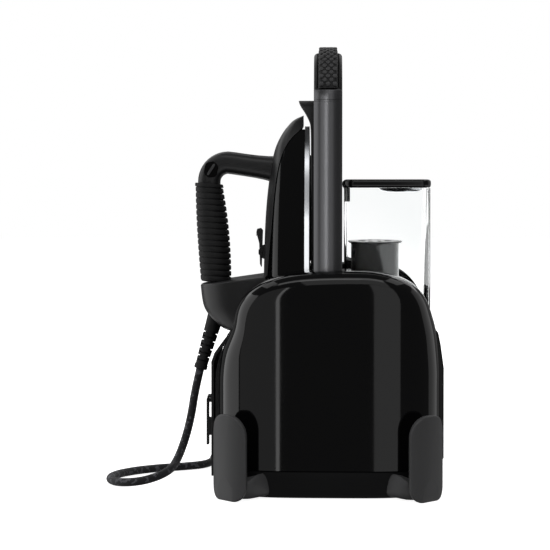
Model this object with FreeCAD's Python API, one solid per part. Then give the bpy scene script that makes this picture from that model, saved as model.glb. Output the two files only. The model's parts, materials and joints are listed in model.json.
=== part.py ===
import FreeCAD, Part
import math
import os
from FreeCAD import Vector

# Steam-generator ironing station: a boiler base with an iron docked upright on its left, a carry handle along
# the middle and a clear water tank on its right. Millimetres, +Z up. The front looks along -Y.
# Shapes are drawn with X = 0 on the carry handle's centre, and every node is moved by ORIGIN_SHIFT when it is
# written, so that the frame's origin is the centre of the object's footprint.

HEIGHT = 420.0
ORIGIN_SHIFT = 11.1

# body shells
BODY_HALF_X = 110.0
BODY_LEFT_X = 108.0
BODY_HALF_Y = 118.0
BODY_CORNER = 62.0
BODY_TOP = 209.6
BODY_EDGE_TOP = 201.0
SEAM_Z = 29.0
WALL = 2.6
SILHOUETTE = [(110, 115), (107, 137), (102.6, 156), (97.4, 170), (92.8, 181), (87.4, 189), (78.9, 197),
              (65.5, 203.6), (51.9, 207.4), (0, 209.6), (-45, 204.6), (-61, 198.8), (-73, 190.5), (-82, 181),
              (-86.5, 171), (-89, 159), (-94, 147), (-101, 134.5), (-106, 120), (-108, 100)]

# bays between the two shells
BULKHEAD_Y = 59.6
BULKHEAD_THICK = 2.4
BAY_HALF_Y = 59.3
IRON_FLOOR_Z = 147.0
IRON_WALL_X = -16.5
TANK_WALL_X = 14.0
TANK_FLOOR_Z = 95.0
SPINE_Z = 203.2
PLATE = 2.3
PANEL_LEFT_X = -111.0

# feet
FOOT_HALF_X = 106.0
FOOT_HALF_Y = 135.0
FOOT_CORNER = 42.0
FOOT_THICK = 6.5
FOOT_TOP = 81.5
FOOT_BOTTOM = 0.8
FOOT_WIDTH = 46.0

# carry handle
HANDLE_HALF_X = 13.3
POST_FACE_Y = 84.0
TRIM_DEPTH = 6.0
BAR_TOP = 415.0
FRAME_THICK = 12.0
ARCH_CORNER = 46.0
INSERT_HALF_X = 9.2
INSERT_PROUD = 5.0
INSERT_START_Z = 380.0
POST_BOTTOM = 150.0

# iron
SOLE_LEFT_X = -22.6
SOLE_RIGHT_X = -18.0
SOLE_TIP_Z = 347.0
IRON_BASE_Z = 148.0
IRON_HALF_WIDTH = 56.0
COVER_TIP_Z = 357.6
GRIP_TOP_Z = 290.8
GRIP_BOTTOM_Z = 192.6

# water tank
TANK_X0 = 16.0
TANK_X1 = 97.5
TANK_HALF_Y = 55.0
TANK_Z0 = 95.4
TANK_Z1 = 286.2
TANK_WALL = 2.5
LID_Z0 = 286.5
LID_Z1 = 294.5
LID_HINGE_X = 18.0
LID_HALF_Y = 57.0
OUTLET_X = 60.0
FILLER_X = 71.2
FILLER_RADIUS = 21.2
HINGE_PIN_RADIUS = 1.5
LUG_WIDTH = 8.0
LUG_STARTS_Y = (-44.0, 36.0)
CARTRIDGE_X = 46.0
CARTRIDGE_RADIUS = 23.5
CARTRIDGE_FLANGE = 26.8
CARTRIDGE_TOP = 234.3

# steam cord
CORD_RADIUS = 4.0
CORD_LIE_Z = 4.2
COIL_CENTRE = (4.0, 200.0)
COIL_INNER = 39.7
COIL_OUTER = 56.3
COIL_HEIGHT = 24.4
BOOT_START = Vector(-111.7, 0, 157.0)
BOOT_END = Vector(-126.0, 0, 108.3)
CORD_ROUTE = [(-126.1, 0, 108.0), (-131.3, 0, 86), (-134.8, -0.6, 62), (-140.2, -6, 39.5),
              (-147, -20, 20.5), (-153, -43, 13), (-173, -60, 7.2), (-197, -57.5, 4.4), (-212, -38, CORD_LIE_Z),
              (-211, -12, CORD_LIE_Z), (-196, 12, CORD_LIE_Z), (-174, 30, CORD_LIE_Z), (-148, 41, CORD_LIE_Z),
              (-125, 55, CORD_LIE_Z), (-118.5, 80, CORD_LIE_Z), (-120, 108, CORD_LIE_Z),
              (-116, 134, CORD_LIE_Z), (-98, 152, CORD_LIE_Z), (-72, 158, CORD_LIE_Z),
              (-46, 155, CORD_LIE_Z), (-20, 149, CORD_LIE_Z), (2, 148, CORD_LIE_Z)]
TAIL_ROUTE = [(-40, 143.2, 37.6), (-40, 156, 31), (-40.4, 171, 24.6), (-40, 184, 21.5)]
GLAND_TILT = 30.0

# fittings through the rear shell
REAR_FACE_Y = 118.0
GLAND_X = -40.0
GLAND_Z = 50.0
MAINS_X = 45.0
MAINS_Z = 46.0
DRAIN_Z = 60.0
BUTTON_X = 36.0
BUTTON_Z = 150.0

# cord clip on the left panel
CLIP_PIN_X = -116.4
CLIP_PIN_Z = 79.2
CLIP_HALF_WIDTH = 7.0
CLIP_LEAF_HALF_WIDTH = 4.6
CLIP_LOW_Z = 33.6
CLIP_STUD_Z = 58.0

# steam trigger
TRIGGER_HINGE = Vector(-66.2, 0, 224)
TRIGGER_PIN_Y = 12.2

# inside the base
INSIDE_FLOOR_Z = 8.0
BOILER_X = -60.0
BOILER_Z = 84.0
BOILER_RADIUS = 38.0
BOILER_HALF_LENGTH = 50.0
BOILER_WALL = 2.0
BOILER_CLEARANCE = 0.05
STRAP_THICK = 2.0
STRAP_HALF_WIDTH = 6.0
ELEMENT_Z = 68.0
ELEMENT_RADIUS = 4.0
PUMP_X = 60.0
PUMP_Z = 56.0
PUMP_BORE = 6.05
PISTON_RADIUS = 6.0
SOLENOID_X = 30.0
SOLENOID_Y = 43.0
BOARD_Y = 79.0
BOARD_THICK = 1.6
TUBE_RADIUS = 3.0

SHAPES = {}


def box(x0, x1, y0, y1, z0, z1):
    return Part.makeBox(x1 - x0, y1 - y0, z1 - z0, Vector(x0, y0, z0))


def rod(radius, start, end):
    axis = end - start
    return Part.makeCylinder(radius, axis.Length, start, axis)


def cone(radius_start, radius_end, start, end):
    axis = end - start
    return Part.makeCone(radius_start, radius_end, axis.Length, start, axis)


def slab_xz(points, y0, y1):
    corners = [Vector(x, y0, z) for x, z in points]
    return Part.Face(Part.makePolygon(corners + corners[:1])).extrude(Vector(0, y1 - y0, 0))


def slab_xy(points, z0, z1):
    corners = [Vector(x, y, z0) for x, y in points]
    return Part.Face(Part.makePolygon(corners + corners[:1])).extrude(Vector(0, 0, z1 - z0))


def slab_yz(points, x0, x1):
    corners = [Vector(x0, y, z) for y, z in points]
    return Part.Face(Part.makePolygon(corners + corners[:1])).extrude(Vector(x1 - x0, 0, 0))


def smooth_edge(points):
    curve = Part.BSplineCurve()
    curve.interpolate(points)
    return curve.toShape()


def rounded_block(x0, x1, y0, y1, z0, z1, radius):
    block = box(x0, x1, y0, y1, z0, z1)
    upright = [edge for edge in block.Edges if abs(edge.Vertexes[0].Z - edge.Vertexes[1].Z) > 1]
    return block.makeFillet(radius, upright)


def mirror_y(shape):
    return shape.mirror(Vector(0, 0, 0), Vector(0, 1, 0))


def mirror_x(shape):
    return shape.mirror(Vector(0, 0, 0), Vector(1, 0, 0))


def fused(shapes):
    return shapes[0].multiFuse(shapes[1:]).removeSplitter()


def add(name, shape):
    SHAPES[name] = shape


# ---------------------------------------------------------------- body

def body_block(inset):
    """The body's outer form, with every wall moved inwards by about inset."""
    side = 1 - inset / BODY_HALF_X
    rise = 1 - inset / (BODY_TOP - SEAM_Z)
    line = [Vector(x * side, -BODY_HALF_Y, SEAM_Z + (z - SEAM_Z) * rise) for x, z in SILHOUETTE]
    low = SEAM_Z - 20
    right, left = line[0], line[-1]
    outline = Part.Wire([
        Part.LineSegment(Vector(right.x, -BODY_HALF_Y, low), right).toShape(),
        smooth_edge(line),
        Part.LineSegment(left, Vector(left.x, -BODY_HALF_Y, low)).toShape(),
        Part.LineSegment(Vector(left.x, -BODY_HALF_Y, low), Vector(right.x, -BODY_HALF_Y, low)).toShape(),
    ])
    front_view = Part.Face(outline).extrude(Vector(0, 2 * BODY_HALF_Y, 0))
    half_x = BODY_HALF_X - inset
    half_y = BODY_HALF_Y - inset
    plan = rounded_block(-half_x, half_x, -half_y, half_y, low, BODY_TOP + 20, BODY_CORNER - inset)
    top, edge = BODY_TOP + 0.1 - inset, BODY_EDGE_TOP - inset
    side_view = slab_yz([(-half_y - 1, low), (half_y + 1, low), (half_y + 1, edge), (BULKHEAD_Y, top),
                         (-BULKHEAD_Y, top), (-half_y - 1, edge)], -BODY_HALF_X - 10, BODY_HALF_X + 10)
    return front_view.common(plan).common(side_view)


def build_body():
    outer = body_block(0)
    wall = outer.cut(body_block(WALL))
    shell_y = BULKHEAD_Y + BULKHEAD_THICK + 0.2
    hole_x = HANDLE_HALF_X + 0.5
    post_hole = box(-hole_x, hole_x, -POST_FACE_Y - TRIM_DEPTH - 0.4, -POST_FACE_Y + FRAME_THICK + 0.4,
                    160, 230)
    half = wall.common(box(-150, 150, -150, -shell_y, SEAM_Z + 0.2, 230)).cut(post_hole)
    add("front_shell", half)
    rear_holes = fused([gland_hole(), mains_hole(), drain_hole(), button_hole()])
    add("rear_shell", mirror_y(half).cut(rear_holes))

    slice_of_body = box(-150, 150, -BULKHEAD_Y - BULKHEAD_THICK, -BULKHEAD_Y, SEAM_Z + 0.2, 230)
    bulkhead = body_block(1.4).common(slice_of_body)
    add("front_bulkhead", bulkhead)
    add("rear_bulkhead", mirror_y(bulkhead))

    right_panel = wall.common(box(20, 150, -BAY_HALF_Y, BAY_HALF_Y, SEAM_Z + 0.2, 150))
    add("right_side_panel", right_panel)
    inner = PANEL_LEFT_X + WALL
    left_profile = [(PANEL_LEFT_X, 12), (PANEL_LEFT_X, 121), (PANEL_LEFT_X + 3, 129.5), (-96.4, 144.6),
                    (-94, 144.6), (-94, 142.6), (-105.8, 127.6), (inner, 120), (inner, 12)]
    add("left_side_panel", slab_xz(left_profile, -BAY_HALF_Y, BAY_HALF_Y).cut(clip_mount_hole()))

    add("iron_bay_floor", box(-96, IRON_WALL_X - 0.1, -BAY_HALF_Y, BAY_HALF_Y, IRON_FLOOR_Z - PLATE,
                              IRON_FLOOR_Z))
    add("iron_bay_wall", box(IRON_WALL_X, IRON_WALL_X + PLATE, -BAY_HALF_Y, BAY_HALF_Y, IRON_FLOOR_Z - PLATE,
                             SPINE_Z - 0.1))
    floor = box(TANK_WALL_X, 107.2, -BAY_HALF_Y, BAY_HALF_Y, TANK_FLOOR_Z - PLATE, TANK_FLOOR_Z)
    add("tank_bay_floor", floor.cut(rod(9.2, Vector(OUTLET_X, 0, 80), Vector(OUTLET_X, 0, 100))))
    add("tank_bay_wall", box(TANK_WALL_X - PLATE, TANK_WALL_X - 0.1, -BAY_HALF_Y, BAY_HALF_Y,
                             TANK_FLOOR_Z - PLATE, SPINE_Z - 0.1))
    add("spine_cover", box(IRON_WALL_X, TANK_WALL_X, -BAY_HALF_Y, BAY_HALF_Y, SPINE_Z, SPINE_Z + PLATE))


def build_base():
    outer = rounded_block(-BODY_LEFT_X, BODY_LEFT_X, -BODY_HALF_Y + 1, BODY_HALF_Y - 1, 4.8, SEAM_Z,
                          BODY_CORNER)
    bottom = [edge for edge in outer.Edges if max(vertex.Z for vertex in edge.Vertexes) < 5]
    outer = outer.makeFillet(5.0, bottom)
    inner = rounded_block(-BODY_LEFT_X + 3, BODY_LEFT_X - 3, -BODY_HALF_Y + 4, BODY_HALF_Y - 4, 8, SEAM_Z + 5,
                          BODY_CORNER - 3)
    add("base_tray", outer.cut(inner).cut(fused(screw_seats())))


def screw_places():
    return [(-70, -70), (-70, 70), (70, -70), (70, 70), (0, -95), (0, 95)]


def screw_seats():
    return [rod(2.2, Vector(x, y, 0), Vector(x, y, 20)) for x, y in screw_places()]


def build_screws():
    screws = []
    for x, y in screw_places():
        head = rod(3.8, Vector(x, y, 8.0), Vector(x, y, 10.6))
        shank = rod(2.0, Vector(x, y, 5.6), Vector(x, y, 8.0))
        screws.append(head.fuse(shank))
    add("base_screws", Part.makeCompound(screws))


def foot_shape():
    """Front-left foot: an upright plate bent round the corner, on a low arm that reaches under the tray."""
    outer = rounded_block(-FOOT_HALF_X, FOOT_HALF_X, -FOOT_HALF_Y, FOOT_HALF_Y, FOOT_BOTTOM, FOOT_TOP,
                          FOOT_CORNER)
    step = FOOT_THICK
    inner = rounded_block(-FOOT_HALF_X + step, FOOT_HALF_X - step, -FOOT_HALF_Y + step, FOOT_HALF_Y - step,
                          -10, FOOT_TOP + 10, FOOT_CORNER - step)
    ring = outer.cut(inner)
    half = FOOT_WIDTH / 2
    leaf = box(-half, half, -60, 60, FOOT_BOTTOM, FOOT_TOP)
    across = [edge for edge in leaf.Edges if abs(edge.Vertexes[0].Y - edge.Vertexes[1].Y) > 1]
    leaf = leaf.makeFillet(19.0, across)
    leaf.rotate(Vector(0, 0, 0), Vector(0, 0, 1), -45)
    leaf.translate(Vector(-87.3, -118.7, 0))
    plate = ring.common(leaf)
    arm = slab_xy([(-49, -112), (-60, -122), (-76, -131), (-98, -110), (-99, -92), (-92, -80), (-60, -80)],
                  FOOT_BOTTOM, 16)
    under_tray = rounded_block(-BODY_LEFT_X - 0.1, BODY_LEFT_X + 0.1, -BODY_HALF_Y + 0.9, BODY_HALF_Y, 4.8, 40,
                               BODY_CORNER)
    foot = fused([plate, arm]).cut(under_tray)
    return foot.cut(rod(8.2, Vector(-80, -104, -5), Vector(-80, -104, 3)))


def build_feet():
    left = foot_shape()
    pad = rod(8.0, Vector(-80, -104, 0), Vector(-80, -104, 3))
    right = mirror_x(left)
    add("foot_front_left", left)
    add("foot_front_right", right)
    add("foot_rear_left", mirror_y(left))
    add("foot_rear_right", mirror_y(right))
    add("foot_pads", Part.makeCompound([pad, mirror_x(pad), mirror_y(pad), mirror_x(mirror_y(pad))]))


# ---------------------------------------------------------------- carry handle and rest plate

def arch(face_y, top_z, corner, thick, half_x, low_z):
    """An upside-down U in the YZ plane, thick deep and 2 half_x wide."""
    def u_block(inset, width):
        block = box(-width, width, -face_y + inset, face_y - inset, low_z - inset, top_z - inset)
        shoulders = [edge for edge in block.Edges
                     if min(vertex.Z for vertex in edge.Vertexes) > top_z - inset - 1
                     and abs(edge.Vertexes[0].X - edge.Vertexes[1].X) > 1]
        return block.makeFillet(corner - inset, shoulders)
    return u_block(0, half_x).cut(u_block(thick, half_x + 5))


def build_handle():
    frame = arch(POST_FACE_Y, BAR_TOP, ARCH_CORNER, FRAME_THICK, HANDLE_HALF_X, POST_BOTTOM)
    anchor_y0 = -POST_FACE_Y + FRAME_THICK
    anchor = box(-HANDLE_HALF_X, HANDLE_HALF_X, anchor_y0, -BULKHEAD_Y - BULKHEAD_THICK, POST_BOTTOM, 190)
    frame = fused([frame, anchor, mirror_y(anchor)])
    insert_outer = arch(POST_FACE_Y + INSERT_PROUD, BAR_TOP + INSERT_PROUD, ARCH_CORNER + INSERT_PROUD,
                        INSERT_PROUD + 3.5, INSERT_HALF_X, 300)
    insert = insert_outer.common(box(-20, 20, -150, 150, INSERT_START_Z, HEIGHT + 1))
    groove = arch(POST_FACE_Y + 5, BAR_TOP + 5, ARCH_CORNER + 5, 8.6, INSERT_HALF_X + 0.2, 300)
    groove = groove.common(box(-20, 20, -150, 150, INSERT_START_Z - 0.2, HEIGHT + 1))
    add("carry_handle_frame", frame.cut(groove))
    add("handle_grip_insert", insert)

    chord = HANDLE_HALF_X
    radius = (chord ** 2 + TRIM_DEPTH ** 2) / (2 * TRIM_DEPTH)
    bar = rod(radius, Vector(0, -POST_FACE_Y - TRIM_DEPTH + radius, 190),
              Vector(0, -POST_FACE_Y - TRIM_DEPTH + radius, INSERT_START_Z - 0.4))
    trim = bar.common(box(-chord, chord, -POST_FACE_Y - TRIM_DEPTH - 1, -POST_FACE_Y, 100, BAR_TOP))
    trim = trim.cut(arch(POST_FACE_Y, BAR_TOP, ARCH_CORNER, FRAME_THICK, HANDLE_HALF_X + 1, 100))
    add("handle_front_trim", trim)
    add("handle_rear_trim", mirror_y(trim))


def build_rest_plate():
    lip = [Vector(x, -60, z) for x, z in [(-16.5, 336), (-17.2, 347), (-18.8, 353), (-22.8, 361),
                                          (-26.6, 366.8), (-28.7, 371)]]
    x1, foot_z = IRON_WALL_X + 3.5, SPINE_Z + PLATE
    corners = [Vector(-28.7, -60, 371), Vector(x1, -60, 371), Vector(x1, -60, foot_z + 3),
               Vector(10, -60, foot_z + 3), Vector(10, -60, foot_z), Vector(IRON_WALL_X, -60, foot_z),
               Vector(-16.5, -60, 336)]
    wire = Part.Wire([smooth_edge(lip)] + Part.makePolygon(corners).Edges)
    section = Part.Face(wire).extrude(Vector(0, 120, 0))
    outline = slab_yz([(-45, 200), (45, 200), (44, 260), (38, 330), (30, 362), (20, 372), (-20, 372),
                       (-30, 362), (-38, 330), (-44, 260)], -60, 20)
    add("iron_rest_plate", section.common(outline))
    pads = [box(IRON_WALL_X - 0.9, IRON_WALL_X, y - 4, y + 4, 216, 318) for y in (-28, 0, 28)]
    add("rest_pads", Part.makeCompound(pads))


# ---------------------------------------------------------------- iron

def iron_outline(tip_z, half_width, x0, x1):
    """Sole-shaped plate standing on its heel with its tip up."""
    shape = [(0.86, 0.02), (0.97, 0.1), (1.0, 0.22), (0.97, 0.4), (0.86, 0.58), (0.67, 0.75), (0.44, 0.885),
             (0.22, 0.965)]
    rise = tip_z - IRON_BASE_Z
    side = [(half_width * wide, IRON_BASE_Z + rise * high) for wide, high in shape]
    left = [Vector(x0, -y, z) for y, z in side]
    right = [Vector(x0, y, z) for y, z in reversed(side)]
    curve = smooth_edge(left + [Vector(x0, 0, tip_z)] + right)
    low = half_width * 0.8
    base = Part.makePolygon([right[-1], Vector(x0, low, IRON_BASE_Z), Vector(x0, -low, IRON_BASE_Z), left[0]])
    return Part.Face(Part.Wire([curve] + base.Edges)).extrude(Vector(x1 - x0, 0, 0))


def build_iron():
    sole = iron_outline(SOLE_TIP_Z, IRON_HALF_WIDTH, SOLE_LEFT_X, SOLE_RIGHT_X)
    vents = [rod(1.6, Vector(SOLE_LEFT_X - 1, y, z), Vector(SOLE_RIGHT_X + 1, y, z))
             for y, z in [(-14, 290), (14, 290), (-22, 260), (22, 260), (-28, 230), (28, 230), (0, 312)]]
    add("iron_soleplate", sole.cut(fused(vents)))
    add("iron_steam_chamber", iron_outline(SOLE_TIP_Z - 22, 44, -34, SOLE_LEFT_X))

    right = SOLE_LEFT_X
    skirt_view = [(right, IRON_BASE_Z), (right, 345), (-25, 345.6), (-33.5, 337), (-40.3, 327.8), (-45, 317),
                  (-48, 306), (-50.2, 292.4), (-54.1, 249), (-58, 204.8), (-60, IRON_BASE_Z)]
    cover_view = [(-24, 345.9), (-24, 357), (-31, 354.6), (-37.4, 349.5), (-43, 342.6), (-47.2, 335.7),
                  (-52.2, 323.9), (-54.2, 315.4), (-58, 292), (-63, 201), (-64, IRON_BASE_Z),
                  (-60, IRON_BASE_Z), (-58, 204.8), (-54.1, 249), (-50.2, 292.4), (-48, 306), (-45, 317),
                  (-40.3, 327.8), (-33.5, 337), (-25, 345.6)]
    hull = iron_outline(COVER_TIP_Z, IRON_HALF_WIDTH - 1, -66, right)
    cavity = iron_outline(300, 47, -45, right + 1).common(box(-60, 0, -60, 60, 152, 300))
    add("iron_skirt", hull.common(slab_xz(skirt_view, -70, 70)).cut(cavity)
        .cut(iron_outline(SOLE_TIP_Z - 22, 44, -34, right)))
    add("iron_top_cover", hull.common(slab_xz(cover_view, -70, 70)))

    heel_view = [(-64.1, 200.9), (-125, 192.4), (-119.3, 165.5), (-99.8, IRON_BASE_Z), (-64.1, IRON_BASE_Z)]
    heel_plan = slab_xy([(-64, -50), (-105, -42), (-127, -22), (-127, 22), (-105, 42), (-64, 50)], 140, 210)
    heel = slab_xz(heel_view, -60, 60).common(heel_plan)
    add("iron_heel", heel.cut(rod(8.6, BOOT_START + (BOOT_START - BOOT_END), BOOT_END)))

    outer_bend = Part.Arc(Vector(-98, -13, 322.4), Vector(-119.6, -13, 312.6), Vector(-128, -13, 292.6))
    inner_bend = Part.Arc(Vector(-105.3, -13, 292.6), Vector(-103, -13, 298.4), Vector(-97.5, -13, 300.6))
    arm = Part.Face(Part.Wire([
        Part.LineSegment(Vector(-54.3, -13, 316.2), Vector(-98, -13, 322.4)).toShape(),
        outer_bend.toShape(),
        Part.LineSegment(Vector(-128, -13, 292.6), Vector(-105.3, -13, 292.6)).toShape(),
        inner_bend.toShape(),
        Part.LineSegment(Vector(-97.5, -13, 300.6), Vector(-57.7, -13, 294.6)).toShape(),
        Part.LineSegment(Vector(-57.7, -13, 294.6), Vector(-54.3, -13, 316.2)).toShape(),
    ])).extrude(Vector(0, 26, 0))
    core = grip_loft(-4.5, GRIP_BOTTOM_Z + 0.6, 292.6)
    handle = fused([arm, core]).cut(heel)
    add("iron_handle", handle.cut(SHAPES["iron_top_cover"]))
    add("iron_grip", grip_loft(0, GRIP_BOTTOM_Z + 1.6, GRIP_TOP_Z).cut(grip_loft(-4.4, 180, 300)).cut(heel))

    collar_at = BOOT_END + (BOOT_START - BOOT_END) * 0.07
    inside = BOOT_START + (BOOT_START - BOOT_END) * 0.16
    boot = fused([cone(8.0, 5.75, BOOT_START, BOOT_END), rod(6.35, collar_at, BOOT_END),
                  rod(8.0, inside, BOOT_START)])
    add("iron_cord_boot", boot)
    build_trigger()


def grip_loft(grow, z0, z1):
    """Oval grip that leans and tapers; grow makes it fatter or thinner."""
    def section(z):
        part = (z - GRIP_BOTTOM_Z) / (GRIP_TOP_Z - GRIP_BOTTOM_Z)
        left = -125 - 5.2 * math.sin(part * math.pi / 2)
        right = -95.4 - 8.9 * part ** 1.5 if part > 0 else -95.4
        half_x = (right - left) / 2 + grow
        half_y = 17.0 + grow
        ellipse = Part.Ellipse(Vector((left + right) / 2, 0, z), half_y, half_x)
        wire = Part.Wire(ellipse.toShape())
        wire.rotate(Vector((left + right) / 2, 0, z), Vector(0, 0, 1), 90)
        return wire
    heights = [z0 + (z1 - z0) * step / 4 for step in range(5)]
    return Part.makeLoft([section(z) for z in heights], True, False)


def build_trigger():
    lever = slab_xz([(-64.9, 232), (-64.2, 245), (-66.2, 247.2), (-69.4, 246.4), (-70.2, 243), (-67.4, 232.5),
                     (-66.6, 212), (-65.4, 209)], -9, 9)
    pin_start = TRIGGER_HINGE - Vector(0, TRIGGER_PIN_Y, 0)
    pin_end = TRIGGER_HINGE + Vector(0, TRIGGER_PIN_Y, 0)
    add("steam_trigger", lever.cut(rod(1.05, pin_start, pin_end)))
    ears = []
    for y0 in (-TRIGGER_PIN_Y, 9.3):
        ears.append(slab_xz([(-61.8, 217), (-61.4, 231), (-65, 230), (-67.9, 226), (-67.9, 222), (-65, 218)],
                            y0, y0 + 2.9))
    bracket = fused(ears + [rod(1.0, pin_start, pin_end)])
    add("trigger_bracket", bracket.cut(SHAPES["iron_top_cover"]))


# ---------------------------------------------------------------- tank

def build_tank():
    outer = rounded_block(TANK_X0, TANK_X1, -TANK_HALF_Y, TANK_HALF_Y, TANK_Z0, TANK_Z1, 9)
    inner = rounded_block(TANK_X0 + TANK_WALL, TANK_X1 - TANK_WALL, -TANK_HALF_Y + TANK_WALL,
                          TANK_HALF_Y - TANK_WALL, TANK_Z0 + 3, TANK_Z1 + 5, 6.5)
    outlet = rod(6.2, Vector(OUTLET_X, 0, TANK_Z0 - 1), Vector(OUTLET_X, 0, TANK_Z0 + 4))
    lug_slots = fused([box(TANK_X0 - 1, 21.2, y0 - 0.2, y0 + LUG_WIDTH + 0.2, 272.8, 300)
                       for y0 in LUG_STARTS_Y])
    add("tank_body", outer.cut(inner).cut(outlet).cut(lug_slots))
    valve = fused([rod(6.1, Vector(OUTLET_X, 0, TANK_Z0), Vector(OUTLET_X, 0, TANK_Z0 + 3)),
                   rod(9.0, Vector(OUTLET_X, 0, TANK_Z0 + 3), Vector(OUTLET_X, 0, TANK_Z0 + 12))])
    add("tank_outlet_valve", valve)

    hinge_z = (LID_Z0 + LID_Z1) / 2
    lugs = []
    for y0 in LUG_STARTS_Y:
        y1 = y0 + LUG_WIDTH
        lug = fused([box(16.2, 21, y0, y1, 273, 286), box(15.6, 20.4, y0, y1, 286, hinge_z),
                     rod(2.4, Vector(LID_HINGE_X, y0, hinge_z), Vector(LID_HINGE_X, y1, hinge_z))])
        inward = 1 if y0 < 0 else -1
        end = y1 if y0 < 0 else y0
        pin = rod(HINGE_PIN_RADIUS, Vector(LID_HINGE_X, end - inward, hinge_z),
                  Vector(LID_HINGE_X, end + inward * 9, hinge_z))
        lugs.append(lug.fuse(pin))
    add("tank_hinge_bracket", Part.makeCompound(lugs))

    lid = box(LID_HINGE_X, 98, -LID_HALF_Y, LID_HALF_Y, LID_Z0, LID_Z1)
    right_corners = [edge for edge in lid.Edges
                     if abs(edge.Vertexes[0].Z - edge.Vertexes[1].Z) > 5 and edge.Vertexes[0].X > 90]
    lid = lid.makeFillet(10, right_corners)
    nose = rod(4.0, Vector(LID_HINGE_X, -LID_HALF_Y, hinge_z), Vector(LID_HINGE_X, LID_HALF_Y, hinge_z))
    lid = lid.fuse(nose)
    pockets = [box(10, 23.5, y0 - 0.4, y0 + LUG_WIDTH + 0.4, 280, 300) for y0 in LUG_STARTS_Y]
    bores = rod(HINGE_PIN_RADIUS + 0.06, Vector(LID_HINGE_X, -45, hinge_z), Vector(LID_HINGE_X, 45, hinge_z))
    hole = rod(19.0, Vector(FILLER_X, 0, 280), Vector(FILLER_X, 0, LID_Z0 + 3))
    add("tank_lid", lid.cut(fused(pockets)).cut(bores).cut(hole))
    dish = fused([rod(FILLER_RADIUS, Vector(FILLER_X, 0, 283), Vector(FILLER_X, 0, LID_Z0)),
                  rod(18.9, Vector(FILLER_X, 0, LID_Z0), Vector(FILLER_X, 0, LID_Z0 + 2.8))])
    add("filler_insert", dish)

    low = TANK_Z0 + 3.4
    cup = rod(CARTRIDGE_RADIUS, Vector(CARTRIDGE_X, 0, low), Vector(CARTRIDGE_X, 0, CARTRIDGE_TOP - 1))
    flange = rod(CARTRIDGE_FLANGE, Vector(CARTRIDGE_X, 0, CARTRIDGE_TOP - 2.6),
                 Vector(CARTRIDGE_X, 0, CARTRIDGE_TOP))
    cartridge = cup.fuse(flange)
    clear_of_valve = rod(9.6, Vector(OUTLET_X, 0, low - 1), Vector(OUTLET_X, 0, TANK_Z0 + 12.5))
    add("filter_cartridge", cartridge.cut(clear_of_valve))


# ---------------------------------------------------------------- cord clip, button, drain cap and glands

def clip_mount_hole():
    return rod(2.05, Vector(-115, 0, CLIP_STUD_Z), Vector(-100, 0, CLIP_STUD_Z))


def build_clip():
    """A spring clip on the left panel: the moving leaf turns on a tubular pin at its top."""
    half = CLIP_HALF_WIDTH
    back = box(-113.4, PANEL_LEFT_X, -half, half, CLIP_LOW_Z, 76)
    stud = rod(2.0, Vector(PANEL_LEFT_X - 0.5, 0, CLIP_STUD_Z), Vector(-104, 0, CLIP_STUD_Z))
    ears = [box(-118.6, -112.4, y0, y0 + 2, 76.0, 82.4) for y0 in (-half, half - 2)]
    pin_a = Vector(CLIP_PIN_X, -half, CLIP_PIN_Z)
    pin_b = Vector(CLIP_PIN_X, half, CLIP_PIN_Z)
    post = box(-113.4, PANEL_LEFT_X, -half, half, 75.9, 82.4)
    pin = rod(1.6, pin_a, pin_b).cut(rod(1.0, pin_a, pin_b))
    fixed = fused([back, post, stud] + ears).cut(rod(1.0, pin_a, pin_b))
    add("cord_clip_bracket", fused([fixed, pin]))
    side = CLIP_LEAF_HALF_WIDTH
    leaf = fused([box(-119.6, -117.2, -side, side, CLIP_LOW_Z, CLIP_PIN_Z),
                  box(-117.2, -114.0, -side, side, 43, 60),
                  rod(2.7, Vector(CLIP_PIN_X, -side, CLIP_PIN_Z), Vector(CLIP_PIN_X, side, CLIP_PIN_Z))])
    add("cord_clip_leaf", leaf.cut(rod(1.66, pin_a, pin_b)))


def gland_axis():
    turn = math.radians(GLAND_TILT)
    return Vector(0, math.cos(turn), -math.sin(turn))


def gland_hole():
    return rod(9.4, Vector(GLAND_X, 100, GLAND_Z), Vector(GLAND_X, 130, GLAND_Z))


def mains_hole():
    return rod(8.2, Vector(MAINS_X, 100, MAINS_Z), Vector(MAINS_X, 130, MAINS_Z))


def drain_hole():
    return rod(10.3, Vector(0, 100, DRAIN_Z), Vector(0, 130, DRAIN_Z))


def button_hole():
    return rod(9.4, Vector(BUTTON_X, 100, BUTTON_Z), Vector(BUTTON_X, 130, BUTTON_Z))


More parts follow.
